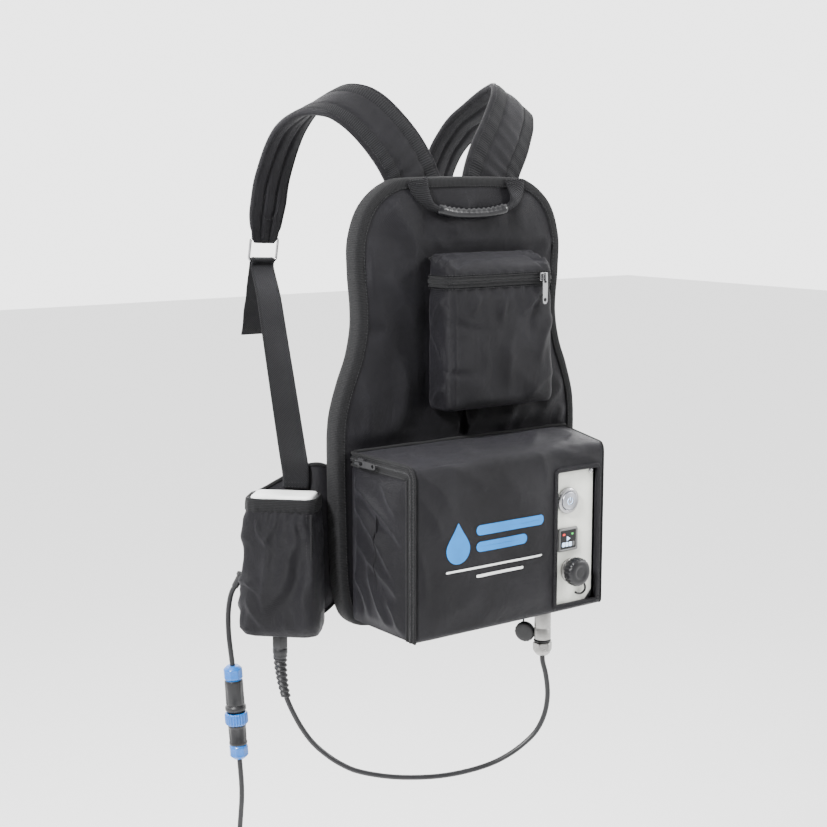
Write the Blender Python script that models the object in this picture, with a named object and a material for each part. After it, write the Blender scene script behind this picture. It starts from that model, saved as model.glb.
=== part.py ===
"""Battery back harness for a powered cleaning brush: a padded back plate with shoulder straps,
a tool pocket, a zipped battery case with a control panel, and a hip pouch with a controller.

Metres, +Z up. The wearer stands on the +Y side; the origin is the centre of the lumbar pad's
wearer-side face. -X is the wearer's left.
"""
import bpy
import bmesh
from math import cos, sin, radians, pi, hypot
from mathutils import Vector

# ---------------------------------------------------------------- driving dimensions
GAP = 0.0003                      # clearance between touching pieces

PLATE_FRONT = -0.0300             # front face of the fabric panel
PANEL_THICK = 0.0038
BOARD_THICK = 0.0024
PAD_THICK = 0.0109
TAPE_WIDTH = 0.0100               # edge binding tape
TAPE_THICK = 0.0007
TAPE_FRONT = PLATE_FRONT - GAP - TAPE_THICK

STRAP_HALF_THICK = 0.0050
STRAP_END_HALF_THICK = 0.0031
RING_WIRE = 0.0014
RING_HALF_WIDTH = 0.01675
RING_LENGTH = 0.026
WEB_HALF_WIDTH = 0.0140
WEB_HALF_THICK = 0.0008

WING_THICK = 0.0100
WING_ROOT = Vector((0.158, -0.020, 0.0))       # outer face at the plate's edge, right side
WING_DIR = Vector((0.717, 0.697, 0.0)).normalized()
WING_OUT = Vector((0.697, -0.717, 0.0)).normalized()

POCKET_LEFT, POCKET_RIGHT = -0.047, 0.096
POCKET_BACK, POCKET_FRONT = PLATE_FRONT - 0.0004, -0.068
POCKET_BOTTOM, POCKET_SEAM, POCKET_TOP = 0.095, 0.2300, 0.256
POCKET_RADIUS = 0.007
WALL = 0.0022                     # fabric wall with its stiffening

CASE_LEFT, CASE_RIGHT_BACK, CASE_RIGHT_FRONT = -0.1425, 0.148, 0.106
CASE_BACK, CASE_FRONT = TAPE_FRONT - GAP, -0.1410
CASE_BOTTOM, CASE_TOP = -0.1190, 0.0580
CASE_WALL = 0.0020
DOOR_OUT = -0.1458                # outer face of the zipped side door
ZIP_BAND = 0.0122

HOUSING_LOW = Vector((-0.1340, -0.1349, -0.1120))
HOUSING_HIGH = Vector((0.0985, -0.0360, 0.0510))
HOUSING_WALL = 0.0020
PANEL_FRONT, PANEL_BACK = -0.1372, -0.1352
PANEL_LEFT, PANEL_RIGHT, PANEL_LOW, PANEL_HIGH = 0.0290, 0.0945, -0.1115, 0.0325
WINDOW_LEFT, WINDOW_RIGHT, WINDOW_LOW, WINDOW_HIGH = 0.0405, 0.0985, -0.1120, 0.0335

BUTTON_AT = Vector((0.0583, 0.0, 0.0006))
INDICATOR_AT = Vector((0.0590, 0.0, -0.0415))
CHARGE_AT = Vector((0.0635, 0.0, -0.0755))
BUTTON_RADIUS = 0.0140
OUTLET_X, OUTLET_Y = 0.0460, -0.1150
OUTLET_RADIUS = 0.0087

CORD_DIAMETER = 0.0055
HANK_LENGTH, HANK_WIDTH, HANK_DEPTH = 0.104, 0.030, 0.024


# ---------------------------------------------------------------- materials
def make_material(name, color, roughness, metallic=0.0):
    material = bpy.data.materials.new(name)
    material.use_nodes = True
    shader = material.node_tree.nodes["Principled BSDF"]
    shader.inputs["Base Color"].default_value = (*color, 1.0)
    shader.inputs["Roughness"].default_value = roughness
    shader.inputs["Metallic"].default_value = metallic
    return material


def make_materials():
    return {
        "fabric": make_material("black nylon fabric", (0.020, 0.019, 0.022), 0.75),
        "tape": make_material("binding tape", (0.012, 0.012, 0.013), 0.85),
        "foam": make_material("black mesh over foam", (0.016, 0.016, 0.018), 0.9),
        "webbing": make_material("polypropylene webbing", (0.014, 0.014, 0.016), 0.7),
        "rubber": make_material("black rubber", (0.012, 0.012, 0.013), 0.45),
        "plastic": make_material("black nylon plastic", (0.015, 0.015, 0.017), 0.4),
        "blue": make_material("blue plastic", (0.03, 0.30, 0.80), 0.35),
        "white": make_material("white plastic", (0.75, 0.76, 0.75), 0.4),
        "panel": make_material("coated aluminium sheet", (0.70, 0.71, 0.68), 0.35, 0.3),
        "metal": make_material("bright plated metal", (0.62, 0.63, 0.65), 0.22, 1.0),
        "aluminium": make_material("dark aluminium", (0.20, 0.20, 0.21), 0.5, 1.0),
        "board": make_material("circuit board", (0.02, 0.16, 0.07), 0.5),
        "cell": make_material("battery wrap", (0.05, 0.08, 0.16), 0.5),
    }


# ---------------------------------------------------------------- mesh helpers
def add_object(name, mesh_builder, material):
    bmesh.ops.recalc_face_normals(mesh_builder, faces=mesh_builder.faces)
    mesh = bpy.data.meshes.new(name)
    mesh_builder.to_mesh(mesh)
    mesh_builder.free()
    mesh.shade_smooth()
    mesh.set_sharp_from_angle(angle=radians(35))
    mesh.materials.append(material)
    piece = bpy.data.objects.new(name, mesh)
    bpy.context.collection.objects.link(piece)
    return piece


def loft(name, rings, material, closed=False):
    """Bridge rings of equal point count; the ends are capped unless the loft closes on itself."""
    builder = bmesh.new()
    rows = [[builder.verts.new(point) for point in ring] for ring in rings]
    count = len(rows[0])
    last = len(rows) if closed else len(rows) - 1
    for i in range(last):
        low, high = rows[i], rows[(i + 1) % len(rows)]
        for j in range(count):
            k = (j + 1) % count
            builder.faces.new((low[j], low[k], high[k], high[j]))
    if not closed:
        builder.faces.new(rows[0])
        builder.faces.new(rows[-1])
    return add_object(name, builder, material)


def spline(points, steps, closed=False):
    """Catmull-Rom curve through rows of numbers."""
    count = len(points)
    result = []
    for i in range(count if closed else count - 1):
        if closed:
            a, b, c, d = (points[(i + k - 1) % count] for k in range(4))
        else:
            a, b, c, d = (points[min(max(i + k - 1, 0), count - 1)] for k in range(4))
        for step in range(steps):
            t = step / steps
            result.append([0.5 * (2 * q + (r - p) * t + (2 * p - 5 * q + 4 * r - s) * t * t
                                  + (3 * q - p - 3 * r + s) * t * t * t)
                           for p, q, r, s in zip(a, b, c, d)])
    if not closed:
        result.append(list(points[-1]))
    return result


def inset_loop(loop, distance):
    """Move a flat closed loop of (x, z) points inwards; the loop runs anticlockwise."""
    result = []
    for i, (x, z) in enumerate(loop):
        ax, az = loop[i - 1]
        bx, bz = loop[(i + 1) % len(loop)]
        length = hypot(bx - ax, bz - az)
        result.append((x - distance * (bz - az) / length, z + distance * (bx - ax) / length))
    return result


def slab(name, loop, y_front, y_back, material):
    rings = [[(x, y, z) for x, z in loop] for y in (y_front, y_back)]
    return loft(name, rings, material)


def rounded_rectangle(low, high, radius, arc_steps=3):
    """Anticlockwise loop of (u, v) points with round corners."""
    corners = [(high[0] - radius, high[1] - radius, 0), (low[0] + radius, high[1] - radius, 90),
               (low[0] + radius, low[1] + radius, 180), (high[0] - radius, low[1] + radius, 270)]
    return [(u + radius * cos(radians(start + 90 * i / arc_steps)),
             v + radius * sin(radians(start + 90 * i / arc_steps)))
            for u, v, start in corners for i in range(arc_steps + 1)]


def rounded_box(name, low, high, radius, material):
    """Box whose edges along Y are round."""
    loop = rounded_rectangle((low[0], low[2]), (high[0], high[2]), radius)
    return slab(name, loop, low[1], high[1], material)


def box(name, low, high, material=None, bevel=0.0):
    builder = bmesh.new()
    bmesh.ops.create_cube(builder, size=1.0)
    for vert in builder.verts:
        for axis in range(3):
            middle = (low[axis] + high[axis]) / 2
            vert.co[axis] = middle + vert.co[axis] * (high[axis] - low[axis])
    if bevel:
        bmesh.ops.bevel(builder, geom=builder.edges[:], offset=bevel, segments=2, affect="EDGES",
                        profile=0.5)
    return add_object(name, builder, material or MATERIALS["plastic"])


def side_axes(direction):
    direction = direction.normalized()
    helper = Vector((0, 0, 1)) if abs(direction.z) < 0.9 else Vector((1, 0, 0))
    first = direction.cross(helper).normalized()
    return first, direction.cross(first)


def turned(name, profile, base, direction, material, sides=24, closed=False):
    """Revolve (radius, distance along the axis) pairs about an axis."""
    direction = direction.normalized()
    first, second = side_axes(direction)
    angles = [2 * pi * i / sides for i in range(sides)]
    rings = [[base + direction * along + (first * cos(a) + second * sin(a)) * radius
              for a in angles] for radius, along in profile]
    return loft(name, rings, material, closed)


def ribbon(name, rows, material, steps=3, corner=0.55):
    """Sweep a flat section. A row holds x, y, z, the width direction, half width, half thickness."""
    smooth = spline(rows, steps) if steps > 1 else rows
    rings = []
    for i, row in enumerate(smooth):
        center, width_axis, half_width, half_thick = Vector(row[0:3]), Vector(row[3:6]), row[6], row[7]
        ahead = Vector(smooth[min(i + 1, len(smooth) - 1)][0:3])
        behind = Vector(smooth[max(i - 1, 0)][0:3])
        tangent = (ahead - behind).normalized()
        width_axis = (width_axis - tangent * width_axis.dot(tangent)).normalized()
        normal = tangent.cross(width_axis)
        edge = half_width - half_thick * 0.8
        section = [(edge, 1), (half_width, corner), (half_width, -corner), (edge, -1),
                   (-edge, -1), (-half_width, -corner), (-half_width, corner), (-edge, 1)]
        rings.append([center + width_axis * u + normal * (v * half_thick) for u, v in section])
    return loft(name, rings, material)


def cord(name, points, radius, material, resolution=2):
    """Round flexible cord along a smooth curve through the route's own points."""
    data = bpy.data.curves.new(name, "CURVE")
    data.dimensions = "3D"
    data.bevel_depth = radius
    data.bevel_resolution = resolution
    data.use_fill_caps = True
    smooth = spline(points, 2)
    line = data.splines.new("POLY")
    line.points.add(len(smooth) - 1)
    for target, point in zip(line.points, smooth):
        target.co = (*point, 1.0)
    data.materials.append(material)
    piece = bpy.data.objects.new(name, data)
    bpy.context.collection.objects.link(piece)
    return piece


def combine(piece, other, operation):
    """Boolean with a helper solid, which stays as a hidden wire guide."""
    other.hide_render = True
    other.display_type = "WIRE"
    modifier = piece.modifiers.new(other.name, "BOOLEAN")
    modifier.operation = operation
    modifier.object = other


def cut(piece, other):
    combine(piece, other, "DIFFERENCE")


def rod(name, base, direction, length, radius, sides=16):
    return turned(name, [(radius, 0.0), (radius, length)], base, direction, MATERIALS["plastic"], sides)


def on_wing(along, out, z, side=-1):
    """World point from distance along a hip wing, distance out from its outer face, and height."""
    point = WING_ROOT + WING_DIR * along + WING_OUT * out
    return Vector((side * point.x, point.y, z))


# ---------------------------------------------------------------- back plate
def plate_outline():
    half = [(0.060, -0.1290), (0.122, -0.1290), (0.147, -0.1180), (0.157, -0.090), (0.160, -0.050),
            (0.162, 0.050), (0.161, 0.085), (0.157, 0.106), (0.149, 0.130), (0.139, 0.155),
            (0.133, 0.182), (0.1325, 0.207), (0.1355, 0.240), (0.135, 0.275), (0.122, 0.308),
            (0.095, 0.330), (0.060, 0.336)]
    mirrored = [(-x, z) for x, z in reversed(half)]
    return spline(half + mirrored, 2, closed=True)


def build_plate():
    outline = plate_outline()
    edge = inset_loop(outline, TAPE_THICK + 2 * GAP)
    panel_back = PLATE_FRONT + PANEL_THICK
    board_front = panel_back + GAP
    board_back = board_front + BOARD_THICK
    pad_front = board_back + GAP
    pad_back = pad_front + PAD_THICK
    slab("front_panel", edge, PLATE_FRONT, panel_back, MATERIALS["fabric"])
    slab("stiffener_board", inset_loop(outline, 0.010), board_front, board_back, MATERIALS["plastic"])
    slab("back_pad", edge, pad_front, pad_back, MATERIALS["foam"])
    lumbar = rounded_rectangle((-0.100, -0.055), (0.100, 0.055), 0.020, 5)
    slab("lumbar_pad", lumbar, pad_back + GAP, 0.0, MATERIALS["foam"])

    tape_back = pad_back + GAP + TAPE_THICK
    profile = [(0.0, TAPE_FRONT), (TAPE_WIDTH, TAPE_FRONT), (TAPE_WIDTH, TAPE_FRONT + TAPE_THICK),
               (TAPE_THICK, TAPE_FRONT + TAPE_THICK), (TAPE_THICK, tape_back - TAPE_THICK),
               (TAPE_WIDTH, tape_back - TAPE_THICK), (TAPE_WIDTH, tape_back), (0.0, tape_back)]
    rings = [[(x, y, z) for x, z in inset_loop(outline, inset)] for inset, y in profile]
    loft("edge_binding", rings, MATERIALS["tape"], closed=True)


# ---------------------------------------------------------------- shoulder straps
STRAP_ROUTES = {
    # x, y, z, width direction, half width: from the sewn end over the shoulder to the ring
    "left": [(-0.040, -0.0055, 0.290, -1, 0, 0, 0.034),
             (-0.042, -0.0050, 0.322, -1, 0, -0.10, 0.034),
             (-0.052, 0.000, 0.352, -0.95, 0, -0.32, 0.033),
             (-0.072, 0.010, 0.384, -0.85, 0, -0.50, 0.031),
             (-0.092, 0.026, 0.408, -0.80, 0, -0.58, 0.029),
             (-0.106, 0.050, 0.4165, -0.82, 0, -0.55, 0.026),
             (-0.116, 0.082, 0.409, -0.90, 0.05, -0.42, 0.023),
             (-0.124, 0.114, 0.385, -0.96, 0.10, -0.26, 0.021),
             (-0.129, 0.137, 0.345, -0.99, 0.10, -0.10, 0.0205),
             (-0.131, 0.149, 0.305, -1, 0.10, 0, 0.0205),
             (-0.1315, 0.153, 0.284, -1, 0.08, 0, 0.0170)],
    "right": [(0.052, -0.0055, 0.290, 1, 0, 0, 0.036),
              (0.055, -0.0050, 0.322, 1, 0, -0.08, 0.037),
              (0.068, 0.000, 0.352, 0.95, 0, -0.28, 0.037),
              (0.092, 0.008, 0.386, 0.88, 0, -0.45, 0.036),
              (0.112, 0.022, 0.412, 0.85, 0, -0.52, 0.034),
              (0.124, 0.046, 0.4215, 0.85, 0, -0.50, 0.031),
              (0.122, 0.086, 0.411, 0.90, 0.05, -0.40, 0.027),
              (0.112, 0.124, 0.385, 0.96, 0.10, -0.26, 0.025),
              (0.106, 0.150, 0.345, 0.99, 0.10, -0.10, 0.0235),
              (0.108, 0.160, 0.305, 1, 0.10, 0, 0.0225),
              (0.110, 0.163, 0.284, 1, 0.08, 0, 0.0170)],
}
STRAP_ENDS = {"left": Vector((-0.132, 0.1565, 0.265)), "right": Vector((0.1115, 0.1655, 0.265))}


def build_strap(side, sign):
    rows = []
    for i, row in enumerate(STRAP_ROUTES[side]):
        thin = 0.0038 if i == len(STRAP_ROUTES[side]) - 1 else STRAP_HALF_THICK
        rows.append((*row, thin))
    end = STRAP_ENDS[side]
    last = Vector(rows[-1][0:3])
    across = Vector(rows[-1][3:6]).normalized()
    down = (end - last).normalized()
    across = (across - down * across.dot(down)).normalized()
    away = across.cross(down) * (1 if sign > 0 else -1)
    away = away if away.y > 0 else -away
    for back in (0.012, 0.0):
        point = end - down * back
        rows.append((*point, *across, 0.0144, STRAP_END_HALF_THICK))
    strap = ribbon(f"shoulder_strap_{side}", rows, MATERIALS["fabric"])

    # rectangular wire ring: its upper bar lies in the strap's end, the webbing hangs on the lower
    top = end - down * 0.006
    bottom = top + down * RING_LENGTH
    middle = (top + bottom) / 2
    corner = 0.004
    loop = rounded_rectangle((-RING_HALF_WIDTH, -RING_LENGTH / 2), (RING_HALF_WIDTH, RING_LENGTH / 2),
                             corner, 3)
    rings = []
    for i, (u, v) in enumerate(loop):
        before, after = loop[i - 1], loop[(i + 1) % len(loop)]
        tangent = (across * (after[0] - before[0]) + down * (after[1] - before[1])).normalized()
        outward = tangent.cross(away)
        center = middle + across * u + down * v
        rings.append([center + (outward * cos(a) + away * sin(a)) * RING_WIRE
                      for a in (2 * pi * k / 8 for k in range(8))])
    loft(f"strap_ring_{side}", rings, MATERIALS["metal"], closed=True)
    cut(strap, rod(f"strap_channel_{side}", top - across * 0.020, across, 0.040, 0.0019, 12))

    # webbing: loose tail, turn over the ring's lower bar, long run down to the hip wing
    turn = 0.0029
    wing_side = -1 if side == "left" else 1
    landing = on_wing(0.040, 0.0026, 0.0200, wing_side)
    above = on_wing(0.040, 0.0042, 0.0400, wing_side)
    wing_across = Vector((wing_side * WING_DIR.x, WING_DIR.y, 0))
    start = bottom - away * turn
    rows = []
    tail_lean = Vector((-wing_side * 0.004, 0.002, 0))
    for drop, swing in ((0.088, 0.008), (0.060, 0.0055), (0.030, 0.0025), (0.010, 0.0006)):
        point = bottom + away * (turn + swing) + down * drop + tail_lean * (drop / 0.088)
        rows.append((*point, *across))
    for angle in range(0, 181, 30):
        point = bottom + away * (turn * cos(radians(angle))) - down * (turn * sin(radians(angle)))
        rows.append((*point, *across))
    rows.append((*(start + down * 0.008), *across))
    for t in (0.18, 0.36, 0.54, 0.72, 0.88):
        point = start.lerp(above, t)
        rows.append((*point, *across.lerp(wing_across * across.dot(wing_across) /
                                         abs(across.dot(wing_across)), t * 0.75)))
    final = wing_across if across.dot(wing_across) > 0 else -wing_across
    rows.append((*above, *final))
    rows.append((*landing, *final))
    rows = [(*row, WEB_HALF_WIDTH, WEB_HALF_THICK) for row in rows]
    ribbon(f"strap_webbing_{side}", rows, MATERIALS["webbing"], steps=2, corner=0.9)


# ---------------------------------------------------------------- carry handle
def build_handle():
    # x, y, z, half width along the webbing's own plane
    route = [(-0.0615, -0.0330, 0.3350, 0.0130), (-0.0590, -0.0350, 0.3240, 0.0115),
             (-0.0530, -0.0378, 0.3135, 0.0075), (-0.0430, -0.0385, 0.3060, 0.0036),
             (-0.0200, -0.0385, 0.3005, 0.0036), (0.0070, -0.0385, 0.2990, 0.0036),
             (0.0340, -0.0385, 0.3005, 0.0036), (0.0570, -0.0385, 0.3060, 0.0036),
             (0.0655, -0.0378, 0.3135, 0.0075), (0.0690, -0.0350, 0.3240, 0.0115),
             (0.0690, -0.0330, 0.3350, 0.0130)]
    smooth = spline(route, 3)
    rings, grip_rings = [], []
    for i, (x, y, z, half) in enumerate(smooth):
        ahead, behind = smooth[min(i + 1, len(smooth) - 1)], smooth[max(i - 1, 0)]
        tangent = Vector((ahead[0] - behind[0], 0, ahead[2] - behind[2])).normalized()
        across = Vector((-tangent.z, 0, tangent.x))
        center = Vector((x, y, z))
        front = Vector((0, -1, 0))
        rings.append([center + across * (half * u) + front * (0.0009 * v)
                      for u, v in ((1, -1), (1, 1), (-1, 1), (-1, -1))])
        if 9 <= i <= len(smooth) - 10:
            sides = [2 * pi * k / 10 for k in range(10)]
            grip_rings.append((
                [center + across * (0.0060 * cos(a)) + front * (0.0055 * sin(a)) for a in sides],
                [center + across * (0.0046 * cos(a)) + front * (0.0021 * sin(a)) for a in sides]))
    loft("handle_webbing", rings, MATERIALS["webbing"])
    outer = [pair[0] for pair in grip_rings]
    inner = [pair[1] for pair in reversed(grip_rings)]
    loft("handle_grip", outer + inner, MATERIALS["rubber"], closed=True)


# ---------------------------------------------------------------- hip belt
def build_wing(side, sign):
    # distance along the wing's outer face, top and bottom heights
    rows = []
    for x, y, top, bottom in ((0.128, -0.0053, 0.030, -0.085), (0.150, -0.0052, 0.038, -0.105)):
        rows.append((x, y, top, bottom))
    for along, top, bottom in ((0.018, 0.0445, -0.115), (0.035, 0.0410, -0.115),
                               (0.0465, 0.0340, -0.115), (0.070, 0.0200, -0.112),
                               (0.085, 0.0100, -0.100), (0.0935, -0.0080, -0.075)):
        point = WING_ROOT + WING_DIR * along - WING_OUT * (WING_THICK / 2)
        rows.append((point.x, point.y, top, bottom))
    rows = [(sign * x, y, (top + bottom) / 2, 0, 0, 1, (top - bottom) / 2, WING_THICK / 2)
            for x, y, top, bottom in rows]
    ribbon(f"hip_wing_{side}", rows, MATERIALS["foam"], steps=3)

    inner = -WING_THICK - 0.0030
    belt = [on_wing(along, inner, 0, sign) for along in (0.062, 0.074, 0.086, 0.0965)]
    belt += [Vector((sign * 0.2140, 0.0690, 0)), Vector((sign * 0.1950, 0.0930, 0)),
            Vector((sign * 0.1550, 0.1280, 0)), Vector((sign * 0.1000, 0.1570, 0)),
            Vector((sign * 0.0600, 0.1680, 0)), Vector((sign * BUCKLE_END, 0.1700, 0))]
    drops = (-0.036, -0.036, -0.036, -0.0365, -0.0375, -0.039, -0.041, -0.044, -0.045, -0.045)
    rows = [(p.x, p.y, z, 0, 0, 1, 0.019, 0.0009) for p, z in zip(belt, drops)]
    ribbon(f"belt_webbing_{side}", rows, MATERIALS["webbing"], steps=3, corner=0.9)


BUCKLE_Y, BUCKLE_Z = 0.170, -0.045
BUCKLE_END = 0.0335


def build_buckle():
    socket = box("buckle_socket", (-0.0330, BUCKLE_Y - 0.0065, BUCKLE_Z - 0.026),
                 (0.0060, BUCKLE_Y + 0.0065, BUCKLE_Z + 0.026), MATERIALS["plastic"], 0.003)
    cut(socket, box("socket_cavity", (-0.0240, BUCKLE_Y - 0.0040, BUCKLE_Z - 0.0215),
                    (0.0200, BUCKLE_Y + 0.0040, BUCKLE_Z + 0.0215)))
    cut(socket, box("socket_windows", (-0.0190, BUCKLE_Y - 0.0040, BUCKLE_Z - 0.040),
                    (-0.0060, BUCKLE_Y + 0.0040, BUCKLE_Z + 0.040)))
    half = [(0.0325, 0.020), (0.0280, 0.0245), (0.0064, 0.0245), (0.0064, 0.0195), (-0.0066, 0.0195),
            (-0.0080, 0.0230), (-0.0165, 0.0215), (-0.0190, 0.0165), (-0.0150, 0.0130),
            (-0.0020, 0.0140), (0.0064, 0.0110), (0.0064, 0.0035), (-0.0180, 0.0030)]
    loop = half + [(x, -z) for x, z in reversed(half)]
    loop = [(x, z + BUCKLE_Z) for x, z in loop]
    slab("buckle_plug", loop, BUCKLE_Y - 0.0036, BUCKLE_Y + 0.0036, MATERIALS["plastic"])


# ---------------------------------------------------------------- tool pocket
def pocket_ring(z, inset, flare=0.0):
    """Plan outline of the pocket at one height; the right side flares towards the bottom."""
    low = (POCKET_LEFT + inset, POCKET_FRONT + inset)
    high = (POCKET_RIGHT + flare - inset, POCKET_BACK - inset)
    return [(x, y, z) for x, y in rounded_rectangle(low, high, POCKET_RADIUS - min(inset, 0.004), 3)]


def build_pocket():
    seam = POCKET_SEAM
    rings = [pocket_ring(POCKET_BOTTOM, 0.003, 0.004), pocket_ring(POCKET_BOTTOM + 0.003, 0, 0.004),
             pocket_ring(seam - 0.030, 0), pocket_ring(seam, 0), pocket_ring(seam, WALL),
             pocket_ring(seam - 0.030, WALL), pocket_ring(POCKET_BOTTOM + 0.005, WALL, 0.004)]
    loft("pocket_body", rings, MATERIALS["fabric"])

    lid_low = seam + 0.0034
    depth = POCKET_BACK - POCKET_FRONT
    top_ring = []
    for x, y, z in pocket_ring(0, 0.0015):
        top_ring.append((x, y, 0.2415 + (POCKET_TOP - 0.2415) * (y - POCKET_FRONT) / depth))
    loft("pocket_top", [pocket_ring(lid_low, 0), pocket_ring(lid_low + 0.004, 0), top_ring],
         MATERIALS["fabric"])

    off = GAP + 0.0007
    corner = POCKET_RADIUS
    left, right, front = POCKET_LEFT - off, POCKET_RIGHT + off, POCKET_FRONT - off
    radius = corner + off
    path = [(left, -0.036), (left, front + radius)]
    path += [(left + radius - radius * cos(radians(a)), front + radius - radius * sin(radians(a)))
             for a in (30, 60, 90)]
    path += [(right - radius + radius * sin(radians(a)), front + radius - radius * cos(radians(a)))
             for a in (0, 30, 60, 90)]
    path += [(right, -0.036)]
    rows = [(x, y, seam + 0.0017, 0, 0, 1, 0.0056, 0.0007) for x, y in path]
    ribbon("pocket_zip", rows, MATERIALS["tape"], steps=1, corner=0.9)


def local_box(name, at, along, outward, low, high, bevel=0.0):
    """Metal box in a local frame: along, outward, and the axis across them both."""
    across = along.cross(outward)
    piece = box(name, low, high, MATERIALS["metal"], bevel)
    for vert in piece.data.vertices:
        u, v, w = vert.co
        vert.co = at + along * u + outward * v + across * w
    return piece


def build_zip_pull(prefix, at, travel, outward, hang):
    """Zip slider that runs along travel, with a flat puller lying along hang from its bridge."""
    slider = local_box(prefix + "_slider", at, travel, outward, (-0.0050, 0.0003, -0.0045),
                       (0.0050, 0.0040, 0.0045), 0.0008)
    bridge = local_box(prefix + "_bridge", at, hang, outward, (-0.0042, 0.0030, -0.0012),
                       (0.0042, 0.0082, 0.0012))
    gap = local_box(prefix + "_bridge_gap", at, hang, outward, (-0.0026, 0.0040, -0.0060),
                    (0.0026, 0.0068, 0.0060))
    combine(slider, bridge, "UNION")
    cut(slider, gap)

    middle = at + outward * 0.0054
    across = hang.cross(outward)
    half = [(1.0, -0.0022), (1.1, 0.006), (1.05, 0.020), (1.0, 0.0265), (0.5, 0.0290)]
    loop = [(u * 0.0032, v) for u, v in half + [(-u, v) for u, v in reversed(half)]]
    puller = loft(prefix + "_puller", puller_rings(middle, hang, across, outward, loop, 0.0007),
                  MATERIALS["metal"])
    slot = rounded_rectangle((-0.0019, -0.0006), (0.0019, 0.0064), 0.0008, 2)
    cut(puller, rod(prefix + "_puller_eye", middle + hang * 0.0245 - outward * 0.003, outward, 0.006,
                    0.0021, 12))
    cut(puller, loft(prefix + "_puller_window", puller_rings(middle, hang, across, outward, slot, 0.003),
                     MATERIALS["metal"]))


def puller_rings(middle, hang, across, outward, loop, half_thick):
    return [[middle + across * u + hang * v + outward * w for u, v in loop]
            for w in (-half_thick, half_thick)]


# ---------------------------------------------------------------- battery case
def case_plan(inset, left, back):
    """Plan outline of the case; its right side slants in towards the front."""
    return [(left, back), (left, CASE_FRONT + inset), (CASE_RIGHT_FRONT - inset, CASE_FRONT + inset),
            (CASE_RIGHT_BACK - inset, back)]


def build_case():
    outer = case_plan(0.0, CASE_LEFT, CASE_BACK)
    cover = loft("case_cover", [[(x, y, z) for x, y in outer] for z in (CASE_BOTTOM, CASE_TOP)],
                 MATERIALS["fabric"])
    inner = case_plan(CASE_WALL, CASE_LEFT - 0.010, CASE_BACK + 0.010)
    cut(cover, loft("case_cavity", [[(x, y, z) for x, y in inner] for z in
                                    (CASE_BOTTOM + CASE_WALL, CASE_TOP - CASE_WALL)],
                    MATERIALS["fabric"]))
    cut(cover, rounded_box("case_window", (WINDOW_LEFT, CASE_FRONT - 0.005, WINDOW_LOW),
                           (WINDOW_RIGHT, CASE_FRONT + 0.003, WINDOW_HIGH), 0.004,
                           MATERIALS["fabric"]))
    cut(cover, rod("case_outlet_hole", Vector((OUTLET_X, OUTLET_Y, CASE_BOTTOM - 0.005)),
                   Vector((0, 0, 1)), 0.010, 0.0125))

    door_in = CASE_LEFT - GAP
    door = rounded_rectangle((CASE_FRONT + ZIP_BAND + GAP, CASE_BOTTOM + 0.001),
                             (-0.0335, CASE_TOP - ZIP_BAND - GAP), 0.004, 2)
    loft("case_gusset", [[(x, y, z) for y, z in door] for x in (DOOR_OUT, door_in)],
         MATERIALS["fabric"])

    # zip band: up the front edge, round the top corner and back along the top edge
    front, top, radius = CASE_FRONT, CASE_TOP, 0.012
    corner = [(front + radius - radius * cos(radians(a)), top - radius + radius * sin(radians(a)))
              for a in (0, 30, 60, 90)]
    band = [(front + ZIP_BAND, CASE_BOTTOM + 0.001), (front, CASE_BOTTOM + 0.001)] + corner
    band += [(-0.0330, top), (-0.0330, top - ZIP_BAND), (front + ZIP_BAND, top - ZIP_BAND)]
    loft("case_zip", [[(x, y, z) for y, z in band] for x in (DOOR_OUT - 0.0005, door_in)],
         MATERIALS["tape"])


def build_housing():
    low, high, wall = HOUSING_LOW, HOUSING_HIGH, HOUSING_WALL
    housing = box("battery_housing", low, high, MATERIALS["aluminium"])
    cut(housing, box("housing_cavity", (low.x - 0.01, low.y + wall, low.z + wall),
                     (high.x - wall, high.y - wall, high.z - wall)))
    cut(housing, box("housing_window", (0.0405, low.y - 0.005, -0.100), (0.0880, low.y + 0.005, 0.024)))
    up = Vector((0, 0, 1))
    cut(housing, rod("housing_outlet_hole", Vector((OUTLET_X, OUTLET_Y, low.z - 0.005)), up, 0.010, 0.0085))
    back = Vector((0, 1, 0))
    for i, at in enumerate(screw_places()):
        cut(housing, rod(f"housing_screw_hole_{i}", at + Vector((0, low.y - 0.002, 0)), back, 0.006,
                         0.0017, 12))
    box("battery_pack", (-0.1300, -0.1290, -0.1060), (0.0150, -0.0420, 0.0420), MATERIALS["cell"], 0.003)
    box("control_board", (0.0300, -0.1030, -0.0950), (0.0900, -0.1014, 0.0300), MATERIALS["board"])


def screw_places():
    return [Vector((0.0340, 0, 0.0285)), Vector((0.0340, 0, -0.1070)), Vector((0.0912, 0, 0.0288))]


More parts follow.
